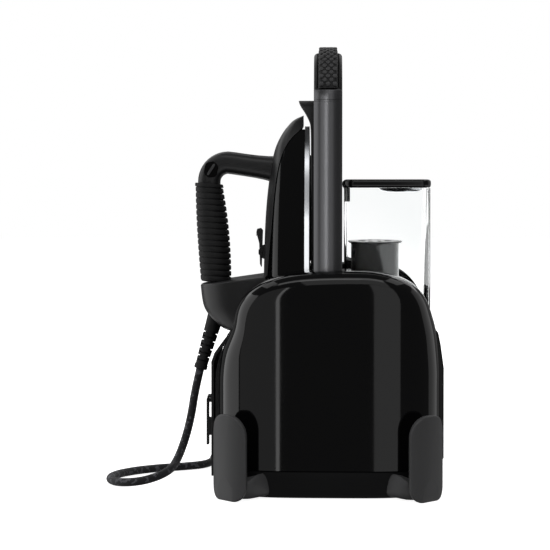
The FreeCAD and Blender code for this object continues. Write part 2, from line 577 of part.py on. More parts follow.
def build_rear_fittings():
    end = Vector(*TAIL_ROUTE[0])
    start = end - gland_axis() * 24
    sleeve = cone(7.0, 5.2, start, end)
    nut = fused([rod(9.2, Vector(GLAND_X, 110, GLAND_Z), Vector(GLAND_X, REAR_FACE_Y + 0.4, GLAND_Z)),
                 rod(11.5, Vector(GLAND_X, REAR_FACE_Y, GLAND_Z), Vector(GLAND_X, REAR_FACE_Y + 3.5, GLAND_Z))])
    add("steam_cord_gland", fused([nut, sleeve]))

    bush = fused([rod(8.0, Vector(MAINS_X, 108, MAINS_Z), Vector(MAINS_X, REAR_FACE_Y, MAINS_Z)),
                  rod(10.5, Vector(MAINS_X, REAR_FACE_Y, MAINS_Z), Vector(MAINS_X, REAR_FACE_Y + 4, MAINS_Z))])
    add("mains_lead_gland", bush.cut(rod(3.7, Vector(MAINS_X, 100, MAINS_Z), Vector(MAINS_X, 130, MAINS_Z))))

    seat_y, cap_y = REAR_FACE_Y + 0.4, REAR_FACE_Y + 6
    cap = fused([rod(10.0, Vector(0, 106, DRAIN_Z), Vector(0, seat_y, DRAIN_Z)),
                 rod(15.0, Vector(0, seat_y, DRAIN_Z), Vector(0, cap_y, DRAIN_Z)),
                 box(-2.5, 2.5, cap_y, cap_y + 6, DRAIN_Z - 13, DRAIN_Z + 13)])
    add("drain_cap", cap)
    button = fused([rod(9.0, Vector(BUTTON_X, 113.5, BUTTON_Z), Vector(BUTTON_X, 120.5, BUTTON_Z)),
                    rod(3.0, Vector(BUTTON_X, 104, BUTTON_Z), Vector(BUTTON_X, 113.5, BUTTON_Z))])
    add("power_button", button)


# ---------------------------------------------------------------- inside the base

def boiler_point(y):
    return Vector(BOILER_X, y, BOILER_Z)


def boiler_clearance():
    """The space that neighbours of the boiler keep out of."""
    half = BOILER_HALF_LENGTH
    return rod(BOILER_RADIUS + BOILER_CLEARANCE, boiler_point(-half), boiler_point(half))


def build_boiler():
    half = BOILER_HALF_LENGTH
    drum = rod(BOILER_RADIUS, boiler_point(-half), boiler_point(half))
    inner_half = half - BOILER_WALL
    hollow = rod(BOILER_RADIUS - BOILER_WALL, boiler_point(-inner_half), boiler_point(inner_half))
    add("boiler", drum.cut(hollow))
    straps = []
    for y in (-30, 30):
        low_y, high_y = y - STRAP_HALF_WIDTH, y + STRAP_HALF_WIDTH
        ring = rod(BOILER_RADIUS + STRAP_THICK, boiler_point(low_y), boiler_point(high_y))
        legs = [box(x, x + STRAP_THICK, low_y, high_y, INSIDE_FLOOR_Z, 60) for x in (-92, -30)]
        straps.append(fused([shape.cut(boiler_clearance()) for shape in [ring] + legs]))
    add("boiler_straps", Part.makeCompound(straps))
    entry, bend_y, spread = -47.9, 25, 12
    out_start = Vector(BOILER_X - spread, entry, ELEMENT_Z)
    out_end = Vector(BOILER_X - spread, bend_y, ELEMENT_Z)
    back_start = Vector(BOILER_X + spread, bend_y, ELEMENT_Z)
    back_end = Vector(BOILER_X + spread, entry, ELEMENT_Z)
    bend = Part.Arc(out_end, Vector(BOILER_X, bend_y + spread, ELEMENT_Z), back_start)
    path = Part.Wire([Part.LineSegment(out_start, out_end).toShape(), bend.toShape(),
                      Part.LineSegment(back_start, back_end).toShape()])
    add("heating_element", swept(path, ELEMENT_RADIUS))
    disc = rod(10, Vector(BOILER_X, BOILER_HALF_LENGTH, 96), Vector(BOILER_X, 55, 96))
    add("boiler_thermostat", disc.fuse(box(BOILER_X - 6, BOILER_X + 6, 55, 58.5, 92, 100)))
    valve = fused([rod(7, Vector(BOILER_X, -12, 122), Vector(BOILER_X, -12, 130)),
                   rod(5, Vector(BOILER_X, -12, 130), Vector(BOILER_X, -12, 142))])
    add("safety_valve", valve.cut(boiler_clearance()))


def build_pump():
    body = rod(19, Vector(PUMP_X, -46, PUMP_Z), Vector(PUMP_X, 10, PUMP_Z))
    spout = rod(7, Vector(PUMP_X, 10, PUMP_Z), Vector(PUMP_X, 30, PUMP_Z))
    cradle = box(PUMP_X - 14, PUMP_X + 14, -40, 4, INSIDE_FLOOR_Z, 44)
    bore = rod(PUMP_BORE, Vector(PUMP_X, -40, PUMP_Z), Vector(PUMP_X, 12, PUMP_Z))
    add("pump_body", fused([body, spout, cradle]).cut(bore))
    add("pump_piston", rod(PISTON_RADIUS, Vector(PUMP_X, -34, PUMP_Z), Vector(PUMP_X, 4, PUMP_Z)))
    stem = rod(6, Vector(SOLENOID_X, SOLENOID_Y, 44), Vector(SOLENOID_X, SOLENOID_Y, 58))
    add("solenoid_valve", box(SOLENOID_X - 10, SOLENOID_X + 10, 24, 50, INSIDE_FLOOR_Z, 44).fuse(stem))
    seat = fused([rod(9.0, Vector(OUTLET_X, 0, 86), Vector(OUTLET_X, 0, TANK_FLOOR_Z)),
                  rod(13, Vector(OUTLET_X, 0, 86), Vector(OUTLET_X, 0, TANK_FLOOR_Z - PLATE))])
    add("tank_valve_seat", seat)


def build_board():
    face_y = BOARD_Y + BOARD_THICK
    post_notch = box(-16, 16, 70, 90, POST_BOTTOM - 2, 170)
    board = box(-58, 58, BOARD_Y, face_y, 66, 162).cut(post_notch)
    switch = box(BUTTON_X - 9, BUTTON_X + 9, face_y, face_y + 21, BUTTON_Z - 9, BUTTON_Z + 9)
    switch = switch.cut(rod(3.1, Vector(BUTTON_X, 95, BUTTON_Z), Vector(BUTTON_X, 110, BUTTON_Z)))
    relay = box(-50, -30, face_y, 96, 76, 96)
    transformer = box(-20, 0, face_y, 92, 104, 124)
    plug = box(14, 46, face_y, 88, 74, 92)
    capacitor = rod(6, Vector(34, face_y, 118), Vector(34, 98, 118))
    legs = [rod(3, Vector(x, BULKHEAD_Y + BULKHEAD_THICK, z), Vector(x, BOARD_Y, z)) for x in (-52, 52)
            for z in (72, 156)]
    add("circuit_board", fused([board, switch, relay, transformer, plug, capacitor] + legs))


def build_tubes():
    spout_end = Vector(PUMP_X, 30, PUMP_Z)
    turn = Vector(PUMP_X, 40, PUMP_Z)
    water = Part.Wire([Part.LineSegment(spout_end, turn).toShape(),
                       Part.Arc(turn, Vector(53, 52, 63), Vector(46, 46, 70)).toShape()])
    rise_start, rise_end = Vector(SOLENOID_X, SOLENOID_Y, 58), Vector(SOLENOID_X, SOLENOID_Y, 66)
    run_start, run_end = Vector(10, SOLENOID_Y, 86), Vector(-23.2, SOLENOID_Y, 86)
    feed = Part.Wire([Part.LineSegment(rise_start, rise_end).toShape(),
                      Part.Arc(rise_end, Vector(24.1, SOLENOID_Y, 80.1), run_start).toShape(),
                      Part.LineSegment(run_start, run_end).toShape()])
    tubes = [swept(water, TUBE_RADIUS), swept(feed, TUBE_RADIUS).cut(boiler_clearance())]
    add("inner_tubes", Part.makeCompound(tubes))


# ---------------------------------------------------------------- steam cord

def swept(path, radius):
    start = path.Edges[0].Vertexes[0].Point
    direction = path.Edges[0].tangentAt(path.Edges[0].FirstParameter)
    ring = Part.Wire(Part.Circle(start, direction, radius).toShape())
    return path.makePipeShell([ring], True, True)


def cord_path(route):
    """Straight runs joined by tangent arcs, each as large as its two runs allow."""
    points = [Vector(*point) for point in route]
    edges, radii = [], []
    here = points[0]
    for before, corner, after in zip(points, points[1:], points[2:]):
        into = (corner - before).normalize()
        away = (after - corner).normalize()
        turn = into.getAngle(away)
        reach = 0.45 * min((corner - before).Length, (after - corner).Length)
        radius = reach / math.tan(turn / 2)
        radii.append(radius)
        first = corner - into * reach
        last = corner + away * reach
        towards_centre = (away - into).normalize()
        middle = corner + towards_centre * (radius / math.cos(turn / 2) - radius)
        edges.append(Part.LineSegment(here, first).toShape())
        edges.append(Part.Arc(first, middle, last).toShape())
        here = last
    edges.append(Part.LineSegment(here, points[-1]).toShape())
    return Part.Wire(edges), radii


def build_cord():
    section = math.pi * CORD_RADIUS ** 2
    length = 0
    for name, route in [("steam_cord", CORD_ROUTE), ("steam_cord_tail", TAIL_ROUTE)]:
        path, radii = cord_path(route)
        tube = swept(path, CORD_RADIUS)
        length += path.Length
        print(name, "length", round(path.Length, 1), "radii", [round(radius, 1) for radius in radii])
        print(name, "volume", round(tube.Volume), "section x length", round(section * path.Length))
        add(name, tube)
    centre = Vector(COIL_CENTRE[0], COIL_CENTRE[1], 0.1)
    bundle = Part.makeCylinder(COIL_OUTER, COIL_HEIGHT, centre)
    add("steam_cord_coil", bundle.cut(Part.makeCylinder(COIL_INNER, COIL_HEIGHT, centre)))
    print("cord outside the coil", round(length, 1))


def write_parts():
    os.makedirs("parts", exist_ok=True)
    for name, shape in SHAPES.items():
        moved = shape.copy()
        moved.translate(Vector(ORIGIN_SHIFT, 0, 0))
        moved.exportStep(os.path.join("parts", name + ".step"))
        size = moved.BoundBox
        print("%-22s solids %d valid %s  x %.1f..%.1f y %.1f..%.1f z %.1f..%.1f" % (
            name, len(moved.Solids), moved.isValid(), size.XMin, size.XMax, size.YMin, size.YMax, size.ZMin,
            size.ZMax))


build_body()
build_base()
build_screws()
build_feet()
build_handle()
build_rest_plate()
build_iron()
build_tank()
build_clip()
build_rear_fittings()
build_boiler()
build_pump()
build_board()
build_tubes()
build_cord()
write_parts()
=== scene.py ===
import json
from math import asin, atan2, copysign, cos, hypot, pi, radians, sin

import bmesh
import bpy
import numpy as np
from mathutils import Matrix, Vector


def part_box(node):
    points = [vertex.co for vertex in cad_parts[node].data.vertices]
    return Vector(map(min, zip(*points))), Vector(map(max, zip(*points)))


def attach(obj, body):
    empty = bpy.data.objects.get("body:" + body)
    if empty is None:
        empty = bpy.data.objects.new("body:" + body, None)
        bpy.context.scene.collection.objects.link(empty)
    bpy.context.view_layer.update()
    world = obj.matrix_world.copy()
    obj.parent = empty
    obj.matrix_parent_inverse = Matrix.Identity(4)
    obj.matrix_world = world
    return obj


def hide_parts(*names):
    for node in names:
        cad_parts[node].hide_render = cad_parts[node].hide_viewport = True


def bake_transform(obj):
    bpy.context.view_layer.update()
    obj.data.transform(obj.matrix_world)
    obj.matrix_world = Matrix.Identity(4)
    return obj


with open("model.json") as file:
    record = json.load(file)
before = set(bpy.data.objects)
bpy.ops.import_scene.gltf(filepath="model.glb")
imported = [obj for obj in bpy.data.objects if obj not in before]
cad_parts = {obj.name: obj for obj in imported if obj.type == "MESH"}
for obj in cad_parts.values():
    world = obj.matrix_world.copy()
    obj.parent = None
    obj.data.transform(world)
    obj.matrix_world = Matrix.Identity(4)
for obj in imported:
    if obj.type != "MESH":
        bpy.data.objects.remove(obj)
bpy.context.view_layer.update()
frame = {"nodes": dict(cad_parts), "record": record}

# Steam-generator ironing station, dressed over its CAD model. Sizes are millimetres, with X = 0 on the carry
# handle's centre line, and at() turns them into the frame's metres. +Z is up and the front looks along -Y.

nodes = frame["nodes"]

MM = 0.001
MERGE_DISTANCE = 0.00001  # metres
FLAT_ANGLE = 2  # degrees between faces that count as one plane
BEVEL_ANGLE = 35  # degrees from which an edge is rounded
handle_low, handle_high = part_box("carry_handle_frame")
CENTRE_X = (handle_low.x + handle_high.x) / 2

# body
AXIS_Z = 105.0  # height of the middle of the rounded silhouette
BODY_RIGHT, BODY_LEFT = 110.0, 108.0
BODY_HALF_Y = 118.0
SHELL_BACK_Y = 62.2  # the shells end here, and the bays lie between them
SHELL_BOTTOM = 26.6
ROOF_TOP = 209.9  # a level cut that flattens the top of the silhouette
SILHOUETTE = [(110, 115), (107, 137), (102.6, 156), (97.4, 170), (92.8, 181), (87.4, 189), (78.9, 197),
              (65.5, 203.6), (51.9, 207.4), (0, 209.6), (-45, 204.6), (-61, 198.8), (-73, 190.5), (-82, 181),
              (-86.5, 171), (-89, 159), (-94, 147), (-101, 134.5), (-106, 120), (-108, 105)]

# iron: heights with the cover's and the skirt's outermost X
SOLE_X = -22.6
IRON_BASE = 148.0
COVER_TIP = 357.6
IRON_HALF_WIDTH = 55.0
COVER_LINE = [(148, -64), (201, -63), (292, -58), (315.4, -54.2), (323.9, -52.2), (335.7, -47.2),
              (342.6, -43), (349.5, -37.4), (354.6, -31), (357.6, -24)]
SKIRT_LINE = [(148, -60), (204.8, -58), (249, -54.1), (292.4, -50.2), (306, -48), (317, -45), (327.8, -40.3),
              (337, -33.5), (345.6, -25), (357.6, -23)]
SOLE_WIDTHS = [(0, 0.8), (0.02, 0.86), (0.1, 0.97), (0.22, 1.0), (0.4, 0.97), (0.58, 0.86), (0.75, 0.67),
               (0.885, 0.44), (0.965, 0.22), (1, 0)]

# steam cord, as in the CAD source
CORD_RADIUS = 4.0
CORD_ROUTE = [(-126.1, 0, 108.0), (-131.3, 0, 86), (-134.8, -0.6, 62), (-140.2, -6, 39.5), (-147, -20, 20.5),
              (-153, -43, 13), (-173, -60, 7.2), (-197, -57.5, 4.4), (-212, -38, 4.2), (-211, -12, 4.2),
              (-196, 12, 4.2), (-174, 30, 4.2), (-148, 41, 4.2), (-125, 55, 4.2), (-118.5, 80, 4.2),
              (-120, 108, 4.2), (-116, 134, 4.2), (-98, 152, 4.2), (-72, 158, 4.2), (-46, 155, 4.2),
              (-20, 149, 4.2), (2, 148, 4.2)]
TAIL_ROUTE = [(-40, 143.2, 37.6), (-40, 156, 31), (-40.4, 171, 24.6), (-40, 184, 21.5)]
COIL_CENTRE = (4.0, 200.0)
COIL_TURNS = 4.75
COIL_STEPS = 16  # control points in a turn
THREADS_ROUND, THREADS_PER_METRE = 12, 430
FLECKS_ABOVE = 0.585  # the noise value above which a thread is pale


# ---------------- shapes

def at(x, y, z):
    """The frame's point for a place in millimetres."""
    return Vector((CENTRE_X + x * MM, y * MM, z * MM))


def turns(count):
    """Angles that divide a full turn evenly."""
    return [2 * pi * step / count for step in range(count)]


def placed(name, data):
    """A new object in the scene."""
    made = bpy.data.objects.new(name, data)
    bpy.context.scene.collection.objects.link(made)
    return made


def preset(node, **values):
    """Sets a node's unlinked inputs, by name with _ for a space."""
    for socket, value in values.items():
        node.inputs[socket.replace("_", " ")].default_value = value


def circle(middle, side, other, radius, count):
    """A ring of points round the middle, in the plane of side and other."""
    return [middle + (side * cos(turn) + other * sin(turn)) * radius for turn in turns(count)]


def squared(value, power):
    """One coordinate of a superellipse, from its sine or cosine."""
    return copysign(abs(value) ** (2 / power), value)


def wire(source, output, target, socket):
    """Links two nodes' named sockets."""
    source.id_data.links.new(source.outputs[output], target.inputs[socket])


def curve_through(pairs):
    """A smooth function through (position, value) pairs: a natural cubic spline."""
    pairs = sorted(pairs)
    x = np.array([pair[0] for pair in pairs], float)
    y = np.array([pair[1] for pair in pairs], float)
    step = np.diff(x)
    count = len(x)
    matrix = np.eye(count)
    side = np.zeros(count)
    for i in range(1, count - 1):
        matrix[i, i - 1:i + 2] = step[i - 1], 2 * (step[i - 1] + step[i]), step[i]
        side[i] = 6 * ((y[i + 1] - y[i]) / step[i] - (y[i] - y[i - 1]) / step[i - 1])
    bend = np.linalg.solve(matrix, side)

    def value(places):
        places = np.clip(places, x[0], x[-1])
        i = np.clip(np.searchsorted(x, places) - 1, 0, count - 2)
        before, after = places - x[i], x[i + 1] - places
        return ((bend[i] * after ** 3 + bend[i + 1] * before ** 3) / (6 * step[i])
                + (y[i] / step[i] - bend[i] * step[i] / 6) * after
                + (y[i + 1] / step[i] - bend[i + 1] * step[i] / 6) * before)
    return value


def smooth_max(a, b, reach):
    """The larger of two distances, with the corner between them rounded over reach."""
    near = np.maximum(reach - np.abs(a - b), 0) / reach
    return np.maximum(a, b) + near * near * reach / 4


def loft(rings, closed=True, caps=True):
    """Points and faces of a skin over rings that have the same number of points."""
    count = len(rings[0])
    points = [tuple(point) for ring in rings for point in ring]
    faces = []
    for row in range(len(rings) - 1):
        for column in range(count if closed else count - 1):
            after = (column + 1) % count
            faces.append((row * count + column, row * count + after, (row + 1) * count + after,
                          (row + 1) * count + column))
    if caps:
        faces.append(tuple(range(count)))
        faces.append(tuple(range(len(points) - count, len(points))))
    return points, faces


def joined(*parts):
    """Several (points, faces) as one."""
    points, faces = [], []
    for more_points, more_faces in parts:
        start = len(points)
        points += more_points
        faces += [tuple(start + index for index in face) for face in more_faces]
    return points, faces


def mirrored(shape, axis):
    """The shape on the other side of X = 0 (axis 0) or Y = 0 (axis 1)."""
    points, faces = shape
    flipped = [tuple(-value if i == axis else value for i, value in enumerate(point)) for point in points]
    return flipped, [tuple(reversed(face)) for face in faces]


def rounded_rectangle(half_a, half_b, radius, arc_points=6):
    """Corner-rounded outline as (a, b) pairs, counter-clockwise."""
    outline = []
    for corner, (sign_a, sign_b) in enumerate([(1, 1), (-1, 1), (-1, -1), (1, -1)]):
        for step in range(arc_points + 1):
            angle = pi / 2 * (corner + step / arc_points)
            outline.append((sign_a * (half_a - radius) + radius * cos(angle),
                            sign_b * (half_b - radius) + radius * sin(angle)))
    return outline


def oval(half_a, half_b, power=2.0, count=48):
    """A superellipse as (a, b) pairs: power 2 is an ellipse, and more is squarer."""
    return [(half_a * squared(cos(angle), power), half_b * squared(sin(angle), power))
            for angle in turns(count)]


def lathe(profile, origin=(0, 0, 0), axis=(0, 0, 1), count=64):
    """A turned shape: profile is (radius, distance along the axis) pairs."""
    axis = Vector(axis).normalized()
    side = axis.orthogonal().normalized()
    other = axis.cross(side)
    return loft([circle(Vector(origin) + axis * along, side, other, radius, count)
                 for radius, along in profile])


def swept(path, section, side=(0, 1, 0), scales=None):
    """A section of (a, b) pairs carried along the path: a is measured along side, b across it."""
    side = Vector(side)
    path = [Vector(point) for point in path]
    rings = []
    for i, point in enumerate(path):
        ahead = (path[min(i + 1, len(path) - 1)] - path[max(i - 1, 0)]).normalized()
        across = ahead.cross(side).normalized()
        scale_a, scale_b = scales[i] if scales else (1, 1)
        rings.append([point + side * (a * scale_a) + across * (b * scale_b) for a, b in section])
    return loft(rings)


def level(outline, z):
    """A flat outline as a ring at one height."""
    return [(x, y, z) for x, y in outline]


def cleaned(mesh, flatten=False):
    """Merges doubled points and turns the faces outwards. flatten also joins faces that lie in one plane."""
    made = bmesh.new()
    made.from_mesh(mesh)
    bmesh.ops.remove_doubles(made, verts=made.verts, dist=MERGE_DISTANCE)
    if flatten:
        bmesh.ops.dissolve_limit(made, angle_limit=radians(FLAT_ANGLE), verts=made.verts,
                                 edges=made.edges)
    bmesh.ops.recalc_face_normals(made, faces=made.faces)
    made.to_mesh(mesh)
    made.free()


def piece(name, shape, material, body, stands_for=None, sharp=40):
    """A finished piece in the frame, riding on a body. stands_for is the CAD node that it replaces."""
    points, faces = shape
    mesh = bpy.data.meshes.new(name)
    mesh.from_pydata([at(*point) for point in points], [], faces)
    cleaned(mesh)
    return settle(name, mesh, material, body, stands_for, sharp)


def settle(name, mesh, material, body, stands_for, sharp):
    """Gives a mesh its object, material, shading and body, and hides the CAD node that it stands for."""
    made = placed(name, mesh)
    mesh.materials.clear()
    mesh.materials.append(material)
    mesh.polygons.foreach_set("use_smooth", [True] * len(mesh.polygons))
    mesh.polygons.foreach_set("material_index", [0] * len(mesh.polygons))
    mesh.set_sharp_from_angle(angle=radians(sharp))
    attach(made, body)
    if stands_for:
        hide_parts(stands_for)
    return made


def softened(node, material, body, width, segments=2):
    """A copy of a CAD node with its edges rounded, which stands for the node."""
    mesh = nodes[node].data.copy()
    cleaned(mesh, flatten=True)
    copy = settle(node + "_finished", mesh, material, body, node, BEVEL_ANGLE)
    bevel = copy.modifiers.new("edges", "BEVEL")
    bevel.width = width * MM
    bevel.segments = segments
    bevel.limit_method = "ANGLE"
    bevel.angle_limit = radians(BEVEL_ANGLE)
    bevel.harden_normals = True
    bevel.use_clamp_overlap = True


# ---------------- materials

def linear(code):
    """A hex colour as the renderer's linear colour."""
    channels = [int(code[i:i + 2], 16) / 255 for i in (0, 2, 4)]
    return [c / 12.92 if c <= 0.04045 else ((c + 0.055) / 1.055) ** 2.4 for c in channels] + [1.0]


MATERIAL_OF_SLOT, SLOT_OF_MATERIAL = {}, {}


def new_material(name, slot=None):
    """A material, noted under the record's slot that it finishes. A slot's first one dresses its nodes."""
    material = bpy.data.materials.new(name)
    material.use_nodes = True
    SLOT_OF_MATERIAL[material.name] = slot or name
    MATERIAL_OF_SLOT.setdefault(slot or name, material)
    tree = material.node_tree.nodes
    return material, tree, tree["Principled BSDF"]


def finish(name, dark, light, rough=(0.4, 0.5), grain=900, bump=0.15, depth=0.1, cloud=14, stretch=(1, 1, 1),
           slot=None, **shader_values):
    """A moulded or machined surface: mottled colour, uneven gloss and fine grain, all procedural.
    depth is the grain's height in millimetres, and stretch draws the grain out along an axis."""
    material, tree, shader = new_material(name, slot)
    preset(shader, **shader_values)
    place, scaled = tree.new("ShaderNodeTexCoord"), tree.new("ShaderNodeMapping")
    preset(scaled, Scale=stretch)
    wire(place, "Object", scaled, "Vector")
    large, fine = tree.new("ShaderNodeTexNoise"), tree.new("ShaderNodeTexNoise")
    for noise, scale, detail in ((large, cloud, 4), (fine, grain, 2)):
        preset(noise, Scale=scale, Detail=detail)
        wire(scaled, "Vector", noise, "Vector")
    gloss = tree.new("ShaderNodeMapRange")
    preset(gloss, From_Min=0.3, From_Max=0.7, To_Min=rough[0], To_Max=rough[1])
    wire(large, "Fac", gloss, "Value")
    wire(gloss, "Result", shader, "Roughness")
    coloured(shader, large.outputs["Fac"], dark, light)
    embossed(shader, fine.outputs["Fac"], bump, depth)
    return material


def coloured(shader, share, dark, light):
    """A base colour between two hex colours, as far along as the socket share says."""
    colour = shader.id_data.nodes.new("ShaderNodeMix")
    colour.data_type = "RGBA"
    preset(colour, A=linear(dark), B=linear(light))
    shader.id_data.links.new(share, colour.inputs["Factor"])
    wire(colour, "Result", shader, "Base Color")


def embossed(shader, height, strength, depth):
    """Relief from the socket height, with its depth in millimetres."""
    relief = shader.id_data.nodes.new("ShaderNodeBump")
    preset(relief, Strength=strength, Distance=depth * MM)
    shader.id_data.links.new(height, relief.inputs["Height"])
    wire(relief, "Normal", shader, "Normal")


def maths(tree, operation, *values):
    """The output of a math node, whose inputs are numbers or other nodes' outputs."""
    node = tree.nodes.new("ShaderNodeMath")
    node.operation = operation
    for socket, value in zip(node.inputs, values):
        if isinstance(value, (int, float)):
            socket.default_value = value
        else:
            tree.links.new(value, socket)
    return node.outputs["Value"]


def braid(name):
    """Woven sleeve: two sets of crossing threads along the tube, with paler flecks. It uses the tube's own
    coordinates: U runs round it, and V is the length in metres."""
    material, _, shader = new_material(name)
    preset(shader, Roughness=0.72, Sheen_Weight=0.25, Sheen_Roughness=0.4)
    tree = material.node_tree
    place, parts = tree.nodes.new("ShaderNodeUVMap"), tree.nodes.new("ShaderNodeSeparateXYZ")
    place.uv_map = "along"
    wire(place, "UV", parts, "Vector")
    around = maths(tree, "MULTIPLY", parts.outputs["X"], THREADS_ROUND * 2 * pi)
    along = maths(tree, "MULTIPLY", parts.outputs["Y"], THREADS_PER_METRE * 2 * pi)
    one_way, other_way = (maths(tree, "SINE", maths(tree, way, around, along)) for way in ("ADD", "SUBTRACT"))
    height = maths(tree, "MULTIPLY_ADD", maths(tree, "MULTIPLY", one_way, other_way), 0.5, 0.5)
    flecks, where = tree.nodes.new("ShaderNodeTexNoise"), tree.nodes.new("ShaderNodeTexCoord")
    preset(flecks, Scale=210, Detail=2)
    wire(where, "Object", flecks, "Vector")
    pale = maths(tree, "GREATER_THAN", flecks.outputs["Fac"], FLECKS_ABOVE)
    coloured(shader, maths(tree, "MULTIPLY", pale, height), "232326", "77777e")
    embossed(shader, height, 0.8, 0.5)
    return material


GLOSS = finish("gloss_shell", "050506", "09090a", (0.05, 0.08), grain=60, bump=0.03, depth=0.3)
BASE = finish("matte_base", "454546", "4b4b4c", (0.5, 0.58), grain=1500, bump=0.25)
TRAY = finish("tray_satin", "1e1e1f", "242526", (0.4, 0.48), grain=1500, bump=0.2, slot="matte_base")
BLACK = finish("matte_black", "131314", "19191a", (0.42, 0.5), grain=1300, bump=0.2)
INNER = finish("bay_black", "0b0b0c", "101011", (0.32, 0.42), grain=1300, slot="matte_black")
TRIM = finish("brushed_trim", "5e5e60", "69696b", (0.28, 0.33), grain=700, bump=0.12,
              stretch=(6, 6, 0.15), slot="satin_metal", Metallic=0.85)
RUBBER = finish("soft_rubber", "161617", "1d1d1e", (0.6, 0.7), grain=1800, bump=0.3)
# the grip rubber again, painted paler: painted light on the studs' lit faces
STUD_PAINTED_LIT = finish("rubber_studs_painted_lit", "3a3a3b", "444445", (0.45, 0.55), grain=1800, bump=0.2,
              slot="soft_rubber")
STEEL = finish("steel_sole", "c2c4c8", "d6d8da", (0.16, 0.24), grain=800, bump=0.06,
               stretch=(1, 1, 0.1), Metallic=1.0)
finish("cast_alloy", "8a8b8d", "9c9da0", (0.42, 0.55), grain=600, bump=0.4, Metallic=1.0)
SKIRT = finish("iron_skirt_gloss", "060607", "0a0a0b", (0.1, 0.14), grain=80, bump=0.03, depth=0.3)
COVER = finish("iron_cover_satin", "1f1f20", "262627", (0.34, 0.42), grain=1500, bump=0.2)
CLEAR = finish("clear_tank", "f6f8f8", "ffffff", (0.0, 0.015), grain=40, bump=0.01, depth=0.2,
               Transmission_Weight=1.0, IOR=1.04)
# pale grey and opaque: a painted reflection along the clear tank's right edge
TANK_EDGE_PAINTED_REFLECTION = finish("tank_edge_painted_reflection", "8c8e90", "989a9c", (0.2, 0.26), grain=700, bump=0.05, slot="clear_tank")
# near black with little gloss: painted shade for the gaps beside the grip rubber and for the recess on the
# iron's handle
PAINTED_RECESS_SHADE = finish("recess_painted_shade", "020202", "040404", (0.6, 0.7), bump=0.1, slot="matte_black",
                Specular_IOR_Level=0.15)
LID = finish("lid_gloss", "080809", "0d0d0e", (0.16, 0.22), grain=90, bump=0.03, depth=0.3)
DISH = finish("filler_chrome", "a9abae", "c0c2c5", (0.12, 0.2), grain=500, bump=0.05, slot="lid_gloss",
              Metallic=1.0)
CARTRIDGE = finish("cartridge_satin", "4a4b4b", "565757", (0.16, 0.2), bump=0.06, Metallic=0.6)
finish("boiler_steel", "8d8f92", "a5a7aa", (0.28, 0.42), grain=500, bump=0.2, stretch=(1, 0.1, 1),
       Metallic=1.0)
finish("screw_steel", "77797c", "8b8d90", (0.3, 0.42), bump=0.2, Metallic=1.0)
finish("board_green", "10391f", "174a2a", grain=700, bump=0.2)
finish("valve_brass", "9a7836", "b08b42", (0.28, 0.4), grain=700, Metallic=1.0)
BRAID = braid("cord_braid")


# ---------------- camera, light and floor

EYE = (0, -1630, 279.6)
EYE_DOWN, EYE_LEFT = 1.383, 1.832  # degrees
LENS = 108.46
SHIFT_Y = -0.0727  # the rest of the photograph's low framing, without leaning the uprights
WORLD_DIM = 0.09
FLOOR_GLOW, FLOOR_REACH, FLOOR_Z = 0.93, 9000, -0.2
AIM = (0, 0, 200)  # the point that every light faces

# name, angle in degrees clockwise from the front seen from above, distance in metres, height in millimetres,
# width and tallness in metres, radiance
STUDIO = [("left_wall", 96, 1.9, 420, 2.6, 1.9, 1.0),
          ("front_strip", 11.5, 2.1, 300, 0.08, 1.35, 1.9),
          ("right_front", -19.2, 2.1, 300, 0.78, 1.35, 0.52),
          ("right_wall", -116, 1.9, 420, 1.9, 1.7, 0.34),
          ("rim_right", -12, 1.35, 1330, 1.0, 1.2, 0.5),
          ("rim_left", 20, 1.3, 1900, 1.3, 0.3, 0.6),
          ("rear_left", 150, 2.0, 1500, 1.6, 1.1, 0.9),
          ("rear_right", -150, 2.0, 1500, 1.6, 1.1, 0.9)]
for side, angle in (("front", 0), ("left", 90), ("rear", 180), ("right", -90)):
    STUDIO += [("low_" + side, angle, 1.5, -760, 2.3, 0.7, 0.9),
               ("high_" + side, angle, 1.2, 2000, 1.8, 0.6, 0.9)]
FILLS = [("overhead", 30, 0.5, 2200, 1.8, 1.5, 1.1),
         ("front_fill", 8, 2.2, 900, 1.8, 1.2, 0.25),
         ("rear_fill", 180, 2.0, 900, 2.4, 1.4, 0.9)]

TRIMS = ("handle_front_trim_brushed", "handle_rear_trim_brushed")
SHELLS = ("front_shell_gloss", "rear_shell_gloss")
IN_TANK = ("filter_cartridge_turned", "tank_body_clear")  # light that passes the wall is linked by the wall
FLAGGED = [(("post_key", 10.0, 2.05, 300, 0.5, 1.5, 2.9), TRIMS),
           (("post_fill", 33, 2.05, 300, 1.0, 1.5, 0.8), TRIMS),
           (("left_front", 36, 2.0, 300, 1.75, 1.6, 0.26), SHELLS),
           (("tank_key", -35, 2.0, 420, 0.3, 1.2, 1.0), IN_TANK),
           (("tank_fill", 66, 2.0, 420, 2.4, 1.2, 9.0), IN_TANK),
           (("sole_key", 0, 2.0, 0, 1.6, 2.6, 1.5), ("iron_soleplate_finished",))]
KEPT_DARK = ("iron_skirt_domed", "base_tray_rolled") + IN_TANK
KEPT_OFF = ("low_front", "high_front", "rim_right", "rim_left", "front_strip", "right_front", "right_wall")


def make_camera():
    lens = bpy.data.cameras.new("camera")
    lens.sensor_width = 36
    lens.lens = LENS
    lens.clip_start, lens.clip_end = 0.05, 60
    camera = placed("camera", lens)
    camera.location = at(*EYE)
    camera.rotation_euler = (radians(90 - EYE_DOWN), 0, radians(EYE_LEFT))
    lens.shift_y = SHIFT_Y
    bpy.context.scene.camera = camera


def softbox(name, angle, distance, height, width, tall, radiance):
    """An area light that faces the object."""
    light = bpy.data.lights.new(name, "AREA")
    light.shape = "RECTANGLE"
    light.size, light.size_y = width, tall
    light.energy = radiance * pi * width * tall
    lamp = placed(name, light)
    turn = radians(angle)
    lamp.location = at(0, 0, height) + Vector((-sin(turn), -cos(turn), 0)) * distance
    lamp.rotation_euler = (at(*AIM) - lamp.location).to_track_quat("-Z", "Y").to_euler()
    return lamp


